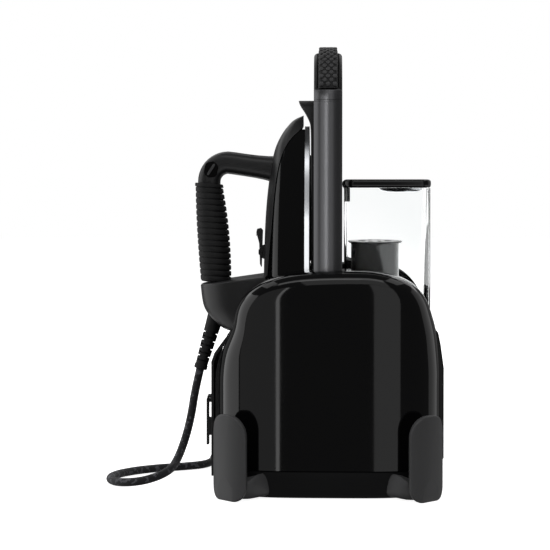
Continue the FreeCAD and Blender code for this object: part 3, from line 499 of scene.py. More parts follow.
def linked(lamp, names, state="INCLUDE"):
    """Let a light reach just the named pieces, or keep it off them, as flags beside a studio light would."""
    subjects = bpy.data.collections.new(lamp.name + "_subjects")
    for name in names:
        subjects.objects.link(bpy.data.objects[name])
    for entry in subjects.collection_objects:
        entry.light_linking.link_state = state
    lamp.light_linking.receiver_collection = subjects


def flagged_lights():
    for settings, names in FLAGGED:
        linked(softbox(*settings), names)
    for name in KEPT_OFF:
        linked(bpy.data.objects[name], KEPT_DARK, "EXCLUDE")


def make_lights():
    for settings in STUDIO:
        softbox(*settings)
    for settings in FILLS:
        softbox(*settings).visible_glossy = False


def make_world():
    """White for the camera, also through clear plastic, and dim for everything else. What a piece mirrors is
    dim too, so the white shows only before the first mirror bounce."""
    world = bpy.data.worlds.new("studio")
    bpy.context.scene.world = world
    world.use_nodes = True
    tree, links = world.node_tree.nodes, world.node_tree.links
    seen, dim = tree["Background"], tree.new("ShaderNodeBackground")
    preset(seen, Color=(1, 1, 1, 1), Strength=1.0)
    preset(dim, Color=(1, 1, 1, 1), Strength=WORLD_DIM)
    ray, blend = tree.new("ShaderNodeLightPath"), tree.new("ShaderNodeMixShader")
    unmirrored = maths(world.node_tree, "LESS_THAN", ray.outputs["Glossy Depth"], 0.5)
    through = maths(world.node_tree, "MULTIPLY", unmirrored, ray.outputs["Is Transmission Ray"])
    either = maths(world.node_tree, "MAXIMUM", ray.outputs["Is Camera Ray"], through)
    links.new(either, blend.inputs["Fac"])
    links.new(dim.outputs["Background"], blend.inputs[1])
    links.new(seen.outputs["Background"], blend.inputs[2])
    links.new(blend.outputs["Shader"], tree["World Output"].inputs["Surface"])
    bpy.context.scene.view_settings.view_transform = "Standard"
    bpy.context.scene.view_settings.look = "None"


def make_floor():
    material = finish("pale_floor", "f2f2f2", "fbfbfb", (0.8, 0.9), grain=300, bump=0.02, cloud=3,
                      Emission_Color=(1, 1, 1, 1), Emission_Strength=FLOOR_GLOW)
    mesh = bpy.data.meshes.new("floor")
    corners = level([(-FLOOR_REACH, -FLOOR_REACH), (FLOOR_REACH, -FLOOR_REACH), (FLOOR_REACH, FLOOR_REACH),
                     (-FLOOR_REACH, FLOOR_REACH)], FLOOR_Z)
    mesh.from_pydata([at(*corner) for corner in corners], [], [(0, 1, 2, 3)])
    floor = placed("floor", mesh)
    mesh.materials.append(material)
    floor.visible_glossy = False
    floor.visible_diffuse = False


# ---------------- steam cord

def coil_points():
    """Control points of the put-away coil: two rings side by side in each of three layers, wound from the
    outside in, back out, and in again, so that each turn lies beside or on the last."""
    lies = straight_through([(0, 52), (0.8, 52), (1.1, 44), (2.5, 44), (2.8, 52), (3.75, 52), (4.75, 44)])
    rises = straight_through([(0, 4.2), (1.8, 4.2), (2.0, 12.2), (3.5, 12.2), (3.75, 20.2), (4.75, 20.2)])
    swell = 1 / cos(pi / COIL_STEPS) ** 0.5  # the curve cuts inside its control points
    points = []
    for step in range(1, int(COIL_TURNS * COIL_STEPS) + 1):
        wound = step / COIL_STEPS
        angle = 2 * pi * wound - pi / 2
        radius = lies(wound) * swell
        points.append((COIL_CENTRE[0] + radius * cos(angle), COIL_CENTRE[1] + radius * sin(angle),
                       rises(wound)))
    return points


def straight_through(pairs):
    """A function that runs straight between (position, value) pairs."""
    places, values = zip(*pairs)
    return lambda place: float(np.interp(place, places, values))


def make_cord():
    route = CORD_ROUTE + coil_points() + TAIL_ROUTE[::-1]
    data = bpy.data.curves.new("steam_cord_line", "CURVE")
    data.dimensions = "3D"
    data.resolution_u = 12
    line = data.splines.new("NURBS")
    line.points.add(len(route) - 1)
    for point, place in zip(line.points, route):
        point.co = (*at(*place), 1)
    line.order_u = 3
    line.use_endpoint_u = True
    holder = placed("steam_cord_line", data)
    bpy.context.view_layer.update()
    traced = bpy.data.meshes.new_from_object(holder)
    path = [vertex.co.copy() for vertex in traced.vertices]
    bpy.data.objects.remove(holder)
    cord = tube("steam_cord_braided", path, CORD_RADIUS * MM, BRAID)
    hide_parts("steam_cord", "steam_cord_coil", "steam_cord_tail")
    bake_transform(cord)


def tube(name, path, radius, material, around=20):
    """A round tube along a path in metres, with U round it and V along it in metres."""
    turned = (path[1] - path[0]).normalized().orthogonal().normalized()
    rings, lengths, total = [], [], 0.0
    for i, place in enumerate(path):
        ahead = (path[min(i + 1, len(path) - 1)] - path[max(i - 1, 0)]).normalized()
        turned = (turned - ahead * turned.dot(ahead)).normalized()
        other = ahead.cross(turned)
        total += (place - path[i - 1]).length if i else 0.0
        lengths.append(total)
        rings.append(circle(place, turned, other, radius, around))
    points, faces = loft(rings, caps=False)
    side_faces = len(faces)
    faces.append(tuple(reversed(range(around))))
    faces.append(tuple(range(len(points) - around, len(points))))
    mesh = bpy.data.meshes.new(name)
    mesh.from_pydata(points, [], faces)
    layer = mesh.uv_layers.new(name="along")
    for face in mesh.polygons[:side_faces]:
        row, column = divmod(face.index, around)
        for loop, (u, v) in zip(face.loop_indices, [(column, row), (column + 1, row), (column + 1, row + 1),
                                                    (column, row + 1)]):
            layer.data[loop].uv = (u / around, lengths[v])
    mesh.materials.append(material)
    mesh.polygons.foreach_set("use_smooth", [True] * len(mesh.polygons))
    return placed(name, mesh)


# ---------------- body

# the silhouette's distance from the middle of its width at AXIS_Z, as a function of the angle
OUTLINE = curve_through([(0, BODY_RIGHT)] + [(atan2(z - AXIS_Z, x), hypot(x, z - AXIS_Z))
                                             for x, z in SILHOUETTE])
EDGE_ROUND = 17.0  # how far the shell's rim rounds over
PLAN_POWER = 4.0  # squareness of the body's plan, a superellipse
PLAN_SPREAD = 2.2  # what the plan gains past its sides, so that the shells end at full width


def body_distance(x, y, z):
    """How far a point is outside the body's outer form, all values in millimetres and as arrays."""
    half_x = np.where(x < 0, BODY_LEFT, BODY_RIGHT) + PLAN_SPREAD
    plan = ((np.abs(x / half_x) ** PLAN_POWER + np.abs(y / BODY_HALF_Y) ** PLAN_POWER) ** (1 / PLAN_POWER)
            - 1) * BODY_HALF_Y
    above = np.maximum(z - AXIS_Z, 0)
    front_view = np.hypot(x, above) - OUTLINE(np.arctan2(above, x))
    return smooth_max(plan, smooth_max(front_view, z - ROOF_TOP, 1.0), EDGE_ROUND)


def shell():
    """The front half of the body, found by walking rays outwards to the body's surface."""
    columns, low_rows, high_rows = 112, 26, 46
    focus_z, longest, halvings = 150.0, 260.0, 40
    rows = low_rows + high_rows
    azimuth = np.linspace(-pi / 2, pi / 2, columns + 1)
    rays = [(SHELL_BOTTOM + (focus_z - SHELL_BOTTOM) * row / low_rows, 0.0) for row in range(low_rows)]
    rays += [(focus_z, pi / 2 * row / (high_rows - 0.5)) for row in range(high_rows)]
    starts, directions = [], []
    for height, rise in rays:
        starts.append(np.tile([0.0, -SHELL_BACK_Y, height], (columns + 1, 1)))
        directions.append(np.stack([np.sin(azimuth) * cos(rise), -np.cos(azimuth) * cos(rise),
                                    0 * azimuth + sin(rise)], 1))
    start, direction = np.concatenate(starts), np.concatenate(directions)
    near, far = np.zeros(len(start)), np.full(len(start), longest)
    for _ in range(halvings):
        middle = (near + far) / 2
        place = start + direction * middle[:, None]
        outside = body_distance(*place.T) > 0
        far = np.where(outside, middle, far)
        near = np.where(outside, near, middle)
    surface = (start + direction * near[:, None]).tolist()
    grid = [surface[row * (columns + 1):(row + 1) * (columns + 1)] for row in range(rows)]
    points, faces = loft(grid, closed=False, caps=False)
    last = (rows - 1) * (columns + 1)
    faces.append(tuple(range(columns + 1)))
    faces.append(tuple([row * (columns + 1) for row in range(rows)] +
                       [last + column for column in range(1, columns)] +
                       [row * (columns + 1) + columns for row in reversed(range(rows))]))
    return points, faces


def base_tray():
    """The tray under the shells, with its bottom edge rolled in and a small step back at the seam."""
    rolls = [(9, 0.6), (5.4, 0.9), (3.6, 2.2), (2.5, 5.0), (1.6, 9.5), (0.8, 15), (0.3, 20), (0, 24.6),
             (0.35, 25.6), (1.2, 26.2), (2.6, 26.4)]
    half_x, half_y = 109.5, 117.6
    return loft([level(oval(half_x - inset, half_y - inset, PLAN_POWER, 128), z) for inset, z in rolls])


def foot():
    """The front-left foot: a tall rounded flap bent round the corner, on an arm under the body."""
    centre_x, centre_y, radius, thick = -65.2, -95.5, 42.0, 6.5
    half_width, low, high = 23.8, 0.1, 79.0
    bottom_corner, top_corner = 14.0, 20.0
    edge, edge_steps = 2.0, 5  # rounding of the flap's rim
    face_insets = (22.0, 18, 13, 7)
    middle_z, half_height = (low + high) / 2, (high - low) / 2

    def ring(inset, depth):
        width, height = max(half_width - inset, 0.6), half_height - inset
        outlines = [rounded_rectangle(width, height, max(corner - inset, 0.5), 12)
                    for corner in (bottom_corner, top_corner)]
        points = []
        for lower, upper in zip(*outlines):
            along, up = upper if upper[1] > 0 else lower
            angle = radians(45) + along / radius
            reach = radius - depth
            points.append((centre_x - reach * sin(angle), centre_y - reach * cos(angle), middle_z + up))
        return points

    roll = [(edge * (1 - sin(turn)), edge * (1 - cos(turn)))
            for turn in (pi / 2 * step / edge_steps for step in range(edge_steps + 1))]
    flap = loft([ring(inset, 0) for inset in face_insets] +
                [ring(inset, depth) for inset, depth in roll] +
                [ring(inset, thick - depth) for inset, depth in reversed(roll)] +
                [ring(inset, thick) for inset in reversed(face_insets)])

    arm_x, arm_y, arm_size = -78, -103, 30
    arm_bottom, arm_top, toe_lift, toe_drop, heel_rise = 1.6, 14.0, 1.6, 8, 10.0
    plan = [(-47, -110.5), (-52, -116.3), (-58, -121), (-64, -125.2), (-70, -128.4), (-77, -129), (-84, -127),
            (-95, -115.5), (-99, -103), (-98, -92), (-91, -80), (-60, -80)]
    rings = []
    for inset, share in [(7, 0.0), (4.4, 0.05), (2.4, 0.18), (0.9, 0.42), (0, 0.72), (0.4, 0.9), (1.6, 1.0)]:
        pull = 1 - inset / arm_size
        points = []
        for x, y in plan:
            toe = max(0.0, min(1.0, (x + 72) / 25))
            bottom = arm_bottom + toe * toe_lift
            top = arm_top + heel_rise * max(0.0, min(1.0, (x + 82) / 22))
            points.append((arm_x + (x - arm_x) * pull - toe * share * toe_drop, arm_y + (y - arm_y) * pull,
                           bottom + (top - bottom) * share))
        rings.append(points)
    return joined(flap, loft(rings))


def make_body():
    front = shell()
    piece("front_shell_gloss", front, GLOSS, "root", "front_shell", 50)
    piece("rear_shell_gloss", mirrored(front, 1), GLOSS, "root", "rear_shell", 50)
    piece("base_tray_rolled", base_tray(), TRAY, "root", "base_tray", 50)
    left = foot()
    for name, shape in (("foot_front_left", left), ("foot_front_right", mirrored(left, 0)),
                        ("foot_rear_left", mirrored(left, 1)),
                        ("foot_rear_right", mirrored(mirrored(left, 0), 1))):
        piece(name + "_rounded", shape, BASE, "root", name, 50)
    for node in ("front_bulkhead", "rear_bulkhead", "iron_bay_floor", "iron_bay_wall", "tank_bay_floor",
                 "tank_bay_wall", "spine_cover"):
        softened(node, INNER, "root", 0.7)
    softened("right_side_panel", GLOSS, "root", 0.8)
    softened("left_side_panel", BLACK, "root", 1.0)


# ---------------- carry handle and rest plate

BAR_TOP, POST_FACE_Y, ARCH_CORNER = 415.0, 84.0, 46.0
HANDLE_HALF_X, FRAME_THICK, POST_BOTTOM = 13.3, 12.0, 150.0
INSERT_START = 378.0


def arch_path(depth, low, arc_steps=14, straight_steps=12):
    """An upside-down U that lies depth inside the handle's outer face, from low up and over to low."""
    face, top, corner = POST_FACE_Y - depth, BAR_TOP - depth, ARCH_CORNER - depth
    shoulder = top - corner
    path = [(0, -face, low + (shoulder - low) * step / straight_steps) for step in range(straight_steps)]
    for step in range(arc_steps + 1):
        angle = pi / 2 * step / arc_steps
        path.append((0, -face + corner * (1 - cos(angle)), shoulder + corner * sin(angle)))
    flat = face - corner
    path += [(0, -flat + 2 * flat * step / straight_steps, top) for step in range(1, straight_steps // 2 + 1)]
    return path + [(x, -y, z) for x, y, z in reversed(path[:-1]) if -y > path[-1][1] + 0.5]


def grip_line(depth, margin):
    """The part of the arch that the grip insert covers, from margin below its start."""
    return [point for point in arch_path(depth, 330, straight_steps=24) if point[2] >= INSERT_START - margin]


def make_handle():
    section = rounded_rectangle(HANDLE_HALF_X, FRAME_THICK / 2, 3.4, 5)
    arch = swept(arch_path(FRAME_THICK / 2, POST_BOTTOM), section, side=(1, 0, 0))
    anchor = rounded_rectangle(12.6, 5.5, 1.2, 3)
    anchors = [loft([[(x, middle_y + y, z) for x, y in anchor] for z in (POST_BOTTOM, 152, 188, 190)])
               for middle_y in (-67.5, 67.5)]
    piece("carry_handle_arch", joined(arch, *anchors), BLACK, "root", "carry_handle_frame")

    ribbon_path = grip_line(-0.75, 1)
    for end in (0, -1):
        ribbon_path[end] = (*ribbon_path[end][:2], INSERT_START)
    ribbon = swept(ribbon_path, rounded_rectangle(9.1, 4.4, 3.9, 6), side=(1, 0, 0))
    piece("handle_grip_rubber", ribbon, RUBBER, "root", "handle_grip_insert")
    # the studs take the paler rubber, which is painted light
    piece("handle_grip_studs", joined(*grip_studs()), STUD_PAINTED_LIT, "root")
    # a near-black band under the rubber's edges: painted shade that shows in the gaps beside the insert
    groove = swept(grip_line(1.2, 0), rounded_rectangle(10.5, 1.35, 0.3, 2), side=(1, 0, 0))
    piece("handle_grip_groove", groove, PAINTED_RECESS_SHADE, "root")

    for name, shape in (("handle_front_trim", front_trim()), ("handle_rear_trim", mirrored(front_trim(), 1))):
        piece(name + "_brushed", shape, TRIM, "root", name)


def grip_studs():
    """Rows of low hexagonal studs over the rubber, each row shifted by half a step."""
    pitch, radius, height, start_above, arch_foot = 5.6, 2.5, 1.0, 3, 340
    sideways = Vector((1, 0, 0))
    line = [Vector(point) for point in arch_path(-5.0, arch_foot, arc_steps=40, straight_steps=40)]
    studs, walked, row = [], 0.0, 0
    for before, after in zip(line, line[1:]):
        walked += (after - before).length
        if walked < pitch * 0.5 or after.z < INSERT_START + start_above:
            continue
        walked = 0.0
        ahead = (after - before).normalized()
        outward = sideways.cross(ahead)
        if outward.dot(after - Vector((0, 0, arch_foot))) < 0:
            outward = -outward
        row += 1
        for column in ((-6.2, 0.0, 6.2) if row % 2 else (-3.1, 3.1)):
            rings = []
            for scale, rise in ((1.0, -0.5), (1.0, 0.0), (0.86, height * 0.7), (0.5, height)):
                rings.append([after + sideways * column + outward * rise +
                              (sideways * cos(turn) + ahead * sin(turn)) * radius * scale
                              for turn in turns(6)])
            studs.append(loft(rings))
    return studs


def front_trim():
    """A bowed metal strip up the front of the post, with a groove near its top."""
    depth, low, high, groove, back, arc_steps = 6.0, 190.0, 377.6, 367.4, 0.4, 24
    radius = (HANDLE_HALF_X ** 2 + depth ** 2) / (2 * depth)
    reach = asin(HANDLE_HALF_X / radius)
    rings = []
    for z, inset in [(low, 0.0), (groove - 0.9, 0.0), (groove - 0.6, 0.5), (groove + 0.6, 0.5),
                     (groove + 0.9, 0.0), (high - 0.6, 0.0), (high - 0.15, 0.3), (high, 0.8)]:
        arc = []
        for step in range(arc_steps + 1):
            angle = -reach + 2 * reach * step / arc_steps
            arc.append(((radius - inset) * sin(angle),
                        -POST_FACE_Y - depth + radius - (radius - inset) * cos(angle)))
        arc += [(HANDLE_HALF_X - back, -POST_FACE_Y + back), (-HANDLE_HALF_X + back, -POST_FACE_Y + back)]
        rings.append(level(arc, z))
    return loft(rings)


def make_rest_plate():
    """The upright plate that the iron's sole leans on: flat to the lip, which curls over towards the iron."""
    widths = curve_through([(205, 44.5), (260, 43.5), (330, 37.5), (352, 33.5), (362, 29.5), (368, 25),
                            (371, 20)])
    left_x = curve_through([(205, -16.5), (300, -16.5), (330, -16.5), (341, -16.7), (347, -17.2),
                            (353, -18.8), (358, -21.2), (363, -24.1), (368, -27.4), (371, -28.7)])
    right_x, low, high = -13.0, 205.5, 371.0
    eased, steps = 0.5, 80  # the top rim's rounding, and the levels below it
    levels = [low + (high - eased - low) * step / steps for step in range(steps + 1)] + [high - 0.15, high]
    rings = []
    for z in levels:
        ease = max(0.0, z - high + eased) * 1.2
        half, x0, x1 = float(widths(z)) - ease, float(left_x(z)) + ease, right_x - ease
        rings.append([((x0 + x1) / 2 + b, a, z) for a, b in rounded_rectangle(half, (x1 - x0) / 2, 1.2, 4)])
    ledge = loft([level([(-13.4, -44), (9.6, -44), (9.6, 44), (-13.4, 44)], z) for z in (205.6, 208.3)])
    piece("iron_rest_plate_curled", joined(loft(rings), ledge), BLACK, "root", "iron_rest_plate")


# ---------------- iron

def sole_profile(rows):
    """(half width, height) pairs from the iron's base to its tip, evenly spread along the curve."""
    rise = COVER_TIP - IRON_BASE
    side = [(IRON_HALF_WIDTH * width, IRON_BASE + rise * part) for part, width in SOLE_WIDTHS]
    side += [(-width, height) for width, height in reversed(side[-3:-1])]
    walked = [0.0]
    for (w0, z0), (w1, z1) in zip(side, side[1:]):
        walked.append(walked[-1] + hypot(w1 - w0, z1 - z0))
    width_at = curve_through([(d, w) for d, (w, z) in zip(walked, side)])
    height_at = curve_through([(d, z) for d, (w, z) in zip(walked, side)])
    tip = walked[len(SOLE_WIDTHS) - 1]
    return [(max(float(width_at(tip * row / rows)), 0.4), float(height_at(tip * row / rows)))
            for row in range(rows + 1)]


COVER_X = curve_through(COVER_LINE)
SKIRT_X = curve_through(SKIRT_LINE)
CREASE_X = -42.8  # where the skirt's flat side starts to curve over
DOME_POWER = 2.2
SIDE_SHRINK = 0.965  # how much narrower the iron is at the crease than at its sole
DENSE = 1200  # points that a section is measured with, before it is thinned


def iron_section(half, top_x, inset, edge_x=None):
    """The iron's section seen from its tip, side to side: nearly flat flanks, and then the curved back.
    With edge_x it is only the part further out than that."""
    crease = max(CREASE_X, SOLE_X + (top_x - SOLE_X) * 0.55)
    shoulder = half * SIDE_SHRINK
    back = [(crease - (crease - top_x - inset) * cos(turn) ** (2 / DOME_POWER),
             (shoulder - inset) * squared(sin(turn), DOME_POWER))
            for turn in np.linspace(-pi / 2, pi / 2, 97)]
    flank = [(SOLE_X, -(half - inset)), (crease, -(shoulder - inset))]
    line = np.array(flank[:1] + back + [(SOLE_X, half - inset)])
    walked = np.concatenate([[0], np.cumsum(np.hypot(*np.diff(line, axis=0).T))])
    dense = np.linspace(0, walked[-1], DENSE)
    x, y = np.interp(dense, walked, line[:, 0]), np.interp(dense, walked, line[:, 1])
    if edge_x is not None:
        inside = dense[x <= edge_x] if (x <= edge_x).any() else dense[DENSE // 2 - 1:DENSE // 2 + 1]
        dense = np.linspace(inside[0], inside[-1], DENSE)
        x, y = np.interp(dense, walked, line[:, 0]), np.interp(dense, walked, line[:, 1])
    picked = np.linspace(0, DENSE - 1, 72).astype(int)
    return list(zip(x[picked].tolist(), y[picked].tolist()))


def make_iron_hull():
    skirt_top, skirt_inset, cover_thick, cover_edge = 345.4, 0.9, 2.2, -24.0
    rings = [level(iron_section(half, float(COVER_X(z)), skirt_inset), z)
             for half, z in sole_profile(90) if z < skirt_top]
    piece("iron_skirt_domed", loft(rings), SKIRT, "iron", "iron_skirt", 30)

    rings = []
    for half, z in sole_profile(110):
        top_x, edge_x = float(COVER_X(z)), min(float(SKIRT_X(z)), cover_edge)
        outer = iron_section(half, top_x, 0.0, edge_x)
        inner = iron_section(half, top_x, min(cover_thick, half * 0.4), edge_x)
        rings.append(level(outer + inner[::-1], z))
    piece("iron_top_cover_domed", loft(rings), COVER, "iron", "iron_top_cover", 35)
    softened("iron_soleplate", STEEL, "iron", 0.7, 3)


def make_iron_handle():
    """The arm from the cover, round its bend to the grip, with a plaque of painted recess shade and a bar
    beside the bend.
    """
    centre_x, centre_z, bend = -98.0, 292.6, 18.9
    path = [(-52, 0, 304.9), (-60, 0, 306.1), (-70, 0, 307.5), (-82, 0, 309.2), (-92, 0, 310.7)]
    path += [(centre_x + bend * cos(turn), 0, centre_z + bend * sin(turn))
             for turn in map(radians, range(92, 181, 8))]
    path += [(-116.8, 0, 290), (-116.7, 0, 286), (-116.5, 0, 280)]
    flare, waist = [(1.12, 1.18), (1.05, 1.08), (1.0, 1.02)], [(0.98, 0.99), (0.94, 0.94), (0.9, 0.88)]
    scales = flare + [(1, 1)] * (len(path) - 6) + waist
    arm = swept(path, oval(13.0, 11.0, 2.7, 56), scales=scales)
    piece("iron_handle_bow", arm, COVER, "iron", "iron_handle")
    # the outline of a raised near-black plaque that paints the shade of a recess
    recess_shade = [(-7.4, -3.6), (-2.2, -8.2), (5.2, -6.8), (7.6, 3.0), (2.8, 8.2), (-5.2, 6.4)]
    bar = [(-4.4, -4.9), (-2.2, -6.2), (4.6, 4.6), (2.4, 5.9)]
    for sign, name in ((-1, "front"), (1, "rear")):
        for kind, outline, face_y, height, material in (("handle_recess_", recess_shade, 12.7, 0.9, PAINTED_RECESS_SHADE),
                                                        ("handle_bar_", bar, 13.4, 0.8, BASE)):
            plate = plaque(outline, (-114.3, sign * face_y, 304.6), sign, height)
            piece(kind + name, plate, material, "iron")


def plaque(outline, middle, sign, height):
    """A small plate on a side face, its corners and rim eased: outline is in X and Z round the middle."""
    outline = [Vector(corner) for corner in outline]
    dense = []
    for i, corner in enumerate(outline):
        start, end = (corner.lerp(other, 0.3) for other in (outline[i - 1], outline[(i + 1) % len(outline)]))
        for share in (0, 0.25, 0.5, 0.75, 1):
            dense.append(start.lerp(corner, share).lerp(corner.lerp(end, share), share))
    x, y, z = middle
    return loft([[(x + p.x * scale, y + sign * rise, z + p.y * scale) for p in dense]
                 for scale, rise in ((1.0, -1.0), (1.0, height * 0.6), (0.95, height * 0.9), (0.88, height))])


def make_iron_grip():
    """The ribbed sleeve on the handle: an oval that tapers and leans, grooved deepest on its inner side."""
    top, bottom, ribs = 287.0, 194.2, 16
    pitch = (top - bottom) / ribs
    levels = []
    for rib in range(ribs):
        start = bottom + rib * pitch
        levels += [(start + 0.25, 1.0), (start + 0.75, 0.85), (start + 1.15, 0.25), (start + 1.7, 0.0),
                   (start + pitch * 0.62, -0.12), (start + pitch - 0.7, 0.0), (start + pitch - 0.2, 0.3)]
    levels += [(top, 0.9), (top + 0.3, 0.9), (top + 0.5, -0.6), (top + 1.1, -0.9), (top + 3.0, -0.9),
               (top + 3.7, -0.6), (top + 4.0, 0.4), (top + 4.0, 3.0)]
    foot_z, head_z, left_foot, left_bulge, right_foot, right_taper = 192.6, 290.8, -125, 5.2, -95.2, 8.9
    half_y, lean = 17.0, 0.07
    rings = []
    for z, cut in levels:
        part = (z - foot_z) / (head_z - foot_z)
        left = left_foot - left_bulge * sin(part * pi / 2)
        right = right_foot - right_taper * max(part, 0) ** 2.2
        middle, half_x = (left + right) / 2, (right - left) / 2
        ring = []
        for x, y in oval(1, 1, 2.2, 56):
            depth = cut * (0.75 + 0.95 * max(x, 0)) if cut > 0 else cut * 0.7
            across, wide = (half_x - depth) * x, (half_y - depth) * y
            ring.append((middle + across, wide, z - lean * across))
        rings.append(ring)
    piece("iron_grip_ribbed", loft(rings), RUBBER, "iron", "iron_grip", 24)


def make_iron_heel():
    """The deep foot of the iron behind the grip: a half oval in plan, under a roof that slopes."""
    left_x = curve_through([(148, -99.8), (152, -106.5), (158, -113.2), (165.5, -119.3), (178, -123.4),
                            (192.4, -125)])
    height, inner_x, half_y, power, steps = 44.4, -60, 49, 2.9, 48
    roof_x, roof_z, roof_slope = -64.1, 200.9, (8.5, 60.9)
    levels = [(0, 2.6), (0.012, 0.9), (0.04, 0.0)]
    levels += [(0.04 + 0.93 * step / 22, 0.0) for step in range(1, 23)]
    levels += [(0.985, 0.25), (0.996, 0.8), (1.0, 1.8)]
    rings = []
    for share, inset in levels:
        tip = float(left_x(IRON_BASE + height * share)) + inset
        ring = []
        for step in range(steps + 1):
            angle = -pi / 2 + pi * step / steps
            x = inner_x + (tip - inner_x) * squared(cos(angle), power)
            roof = roof_z + (x - roof_x) * roof_slope[0] / roof_slope[1]
            ring.append((x, (half_y - inset) * squared(sin(angle), power),
                         IRON_BASE + (roof - IRON_BASE) * share))
        rings.append(ring)
    piece("iron_heel_moulded", loft(rings), COVER, "iron", "iron_heel")


def make_boot():
    """The tapered strain relief, pierced by staggered rows of slots so that it can bend."""
    start, end = Vector((-109.4, 0, 164.8)), Vector((-126.0, 0, 108.3))
    axis, length = (end - start).normalized(), (end - start).length
    side, other = Vector((0, 1, 0)), axis.cross(Vector((0, 1, 0)))
    thick, thin, slot_depth, collar, mouth = 8.3, 5.75, 2.1, 6.5, 5.8
    slot_pitch, slot_width, slot_start = 4.0, 1.7, length * 0.36
    levels = [(0, None), (length * 0.34, None)]
    for row in range(8):
        here = slot_start + row * slot_pitch
        levels += [(here, None), (here + 0.15, row),
                   (here + slot_width - 0.15, row), (here + slot_width, None)]
    levels += [(length - 4.6, None), (length - 4.3, "collar"), (length - 0.5, "collar"), (length, "mouth")]
    rings = []
    for along, kind in levels:
        base = thick + (thin - thick) * min(along / length, 1)
        ring = []
        for angle in turns(56):
            radius = {"collar": collar, "mouth": mouth}.get(kind, base)
            if isinstance(kind, int):
                spread = abs(sin(angle + (pi / 2 if kind % 2 else 0)))
                radius = base - (slot_depth if spread > 0.38 else 0.0)
            ring.append(start + axis * along + (side * cos(angle) + other * sin(angle)) * radius)
        rings.append(ring)
    piece("iron_cord_boot_slotted", loft(rings), RUBBER, "iron", "iron_cord_boot", 30)


def make_trigger():
    softened("steam_trigger", COVER, "steam_trigger", 0.8, 3)
    softened("trigger_bracket", BLACK, "iron", 0.4)
    ridge, lowest = [(0.1, -7.6), (0.55, -7.2), (0.55, 7.2), (0.1, 7.6)], 240.4
    ridges = []
    for height in (lowest, 242.2, 244.0, 245.8):
        x = -70.0 + (height - lowest) * 0.14 + (0.9 if height > 245 else 0)
        ridges.append(lathe(ridge, (x, 0, height), (0, 1, 0), 12))
    piece("steam_trigger_ridges", joined(*ridges), COVER, "steam_trigger")


# ---------------- water tank

TANK_X, TANK_Z, TANK_HALF_Y = (16.0, 97.5), (95.4, 286.2), 55.0
TANK_WALL = 1.4
LID_X, LID_HALF_Y = (14.4, 98.0), 57.0
CARTRIDGE_X = 46
CARTRIDGE_TOP = 233.6


def slab(span_x, half_y, corner, insets, most_inset=99):
    """A corner-rounded block through (inset, height) pairs. Its corners shrink by up to most_inset."""
    middle, half_x = sum(span_x) / 2, (span_x[1] - span_x[0]) / 2
    return loft([[(middle + x, y, z) for x, y in
                  rounded_rectangle(half_x - inset, half_y - inset, corner - min(inset, most_inset), 10)]
                 for inset, z in insets])


def make_tank():
    low, high = TANK_Z
    outside = [(4, low), (1.2, low + 0.4), (0.2, low + 2), (0, low + 4), (0, high - 0.5), (0.4, high)]
    inside = [(TANK_WALL - 0.4, high), (TANK_WALL, high - 0.5), (TANK_WALL, low + 6),
              (TANK_WALL + 0.8, low + 3.6), (TANK_WALL + 2, low + 3)]
    tank = slab(TANK_X, TANK_HALF_Y, 9.0, outside + inside, 6)
    piece("tank_body_clear", tank, CLEAR, "tank", "tank_body")
    # a pale rod down the right wall: the painted reflection of the clear edge
    seam = swept([(TANK_X[1] - 0.1, -8, z) for z in (low + 6, 190, high - 1)], oval(0.6, 0.6, 2, 12))
    piece("tank_parting_line", seam, TANK_EDGE_PAINTED_REFLECTION, "tank", sharp=60)
    softened("tank_hinge_bracket", BLACK, "tank", 0.5)

    lid = slab(LID_X, LID_HALF_Y, 10, [(3.4, 286.5), (1.4, 286.8), (0.35, 287.9), (0, 289.6), (0, 292.0),
                                       (0.5, 293.4), (1.5, 294.2), (3.0, 294.5)])
    piece("tank_lid_gloss", lid, LID, "tank_lid", "tank_lid")
    bowl = lathe([(0.2, 288.4), (18.6, 288.4), (19.0, 286.9), (22.4, 286.4), (22.6, 285.4), (21.4, 283.6),
                  (18.2, 281.9), (12, 281.1), (0.2, 280.9)], (71.2, 0, 0))
    piece("filler_insert_dished", bowl, DISH, "tank_lid", "filler_insert")


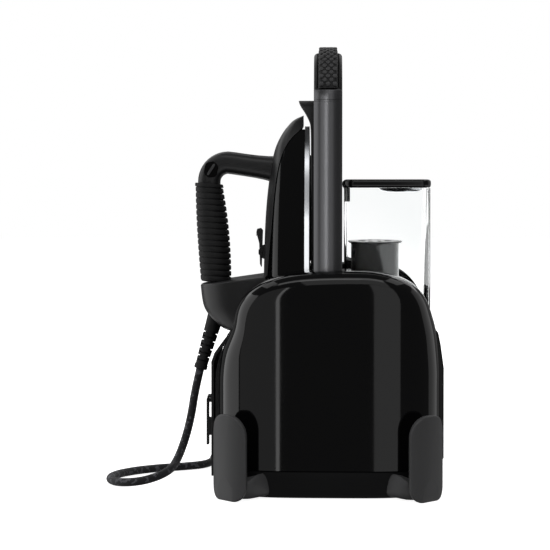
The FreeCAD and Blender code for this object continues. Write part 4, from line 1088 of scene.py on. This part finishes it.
def make_cartridge():
    """The filter canister: a satin cup with a thin domed flange, and a ring of raised dots on top."""
    profile = [(0.2, 98.9), (20.5, 98.9), (22.6, 99.8), (23.4, 102), (23.5, 150), (23.2, 150.6),
               (23.2, 152.4), (23.5, 153), (23.5, 229.8), (23.9, 231.2), (26.2, 231.8), (26.8, 232.4),
               (26.8, 233.2), (26.4, 233.6), (24.0, 233.7), (12, 233.8), (0.2, 233.9)]
    cup = lathe(profile, (CARTRIDGE_X, 0, 0), count=96)
    dot = [(radius, CARTRIDGE_TOP + rise) for radius, rise in ((0.2, 0), (2.2, 0.1), (2.0, 0.5), (0.2, 0.5))]
    dots = [lathe(dot, (CARTRIDGE_X + 14 * cos(angle), 14 * sin(angle), 0), count=16)
            for angle in turns(10)]
    piece("filter_cartridge_turned", joined(cup, *dots), CARTRIDGE, "filter_cartridge",
          "filter_cartridge", 30)


# ---------------- small fittings

def make_fittings():
    for node, material, body, width, segments in (
            ("cord_clip_bracket", BLACK, "root", 0.5, 2), ("cord_clip_leaf", BLACK, "cord_clip", 0.5, 2),
            ("steam_cord_gland", RUBBER, "root", 0.6, 2), ("mains_lead_gland", BLACK, "root", 0.6, 2),
            ("drain_cap", BLACK, "drain_cap", 0.8, 3), ("power_button", BASE, "power_button", 0.8, 3),
            ("rest_pads", RUBBER, "root", 0.35, 2), ("foot_pads", RUBBER, "root", 0.5, 2)):
        softened(node, material, body, width, segments)


# ---------------- the whole

def dress_nodes():
    """Every CAD node that still shows gets its slot's material."""
    slots = {entry["node"]: entry["material_slot"] for entry in frame["record"]["subparts"]}
    for name, node in nodes.items():
        node.data.materials.clear()
        node.data.materials.append(MATERIAL_OF_SLOT[slots.get(name, "matte_black")])


make_camera()
make_lights()
make_world()
make_floor()
dress_nodes()
make_cord()
make_body()
make_handle()
make_rest_plate()
make_iron_hull()
make_iron_handle()
make_iron_grip()
make_iron_heel()
make_boot()
make_trigger()
make_tank()
make_cartridge()
make_fittings()
flagged_lights()
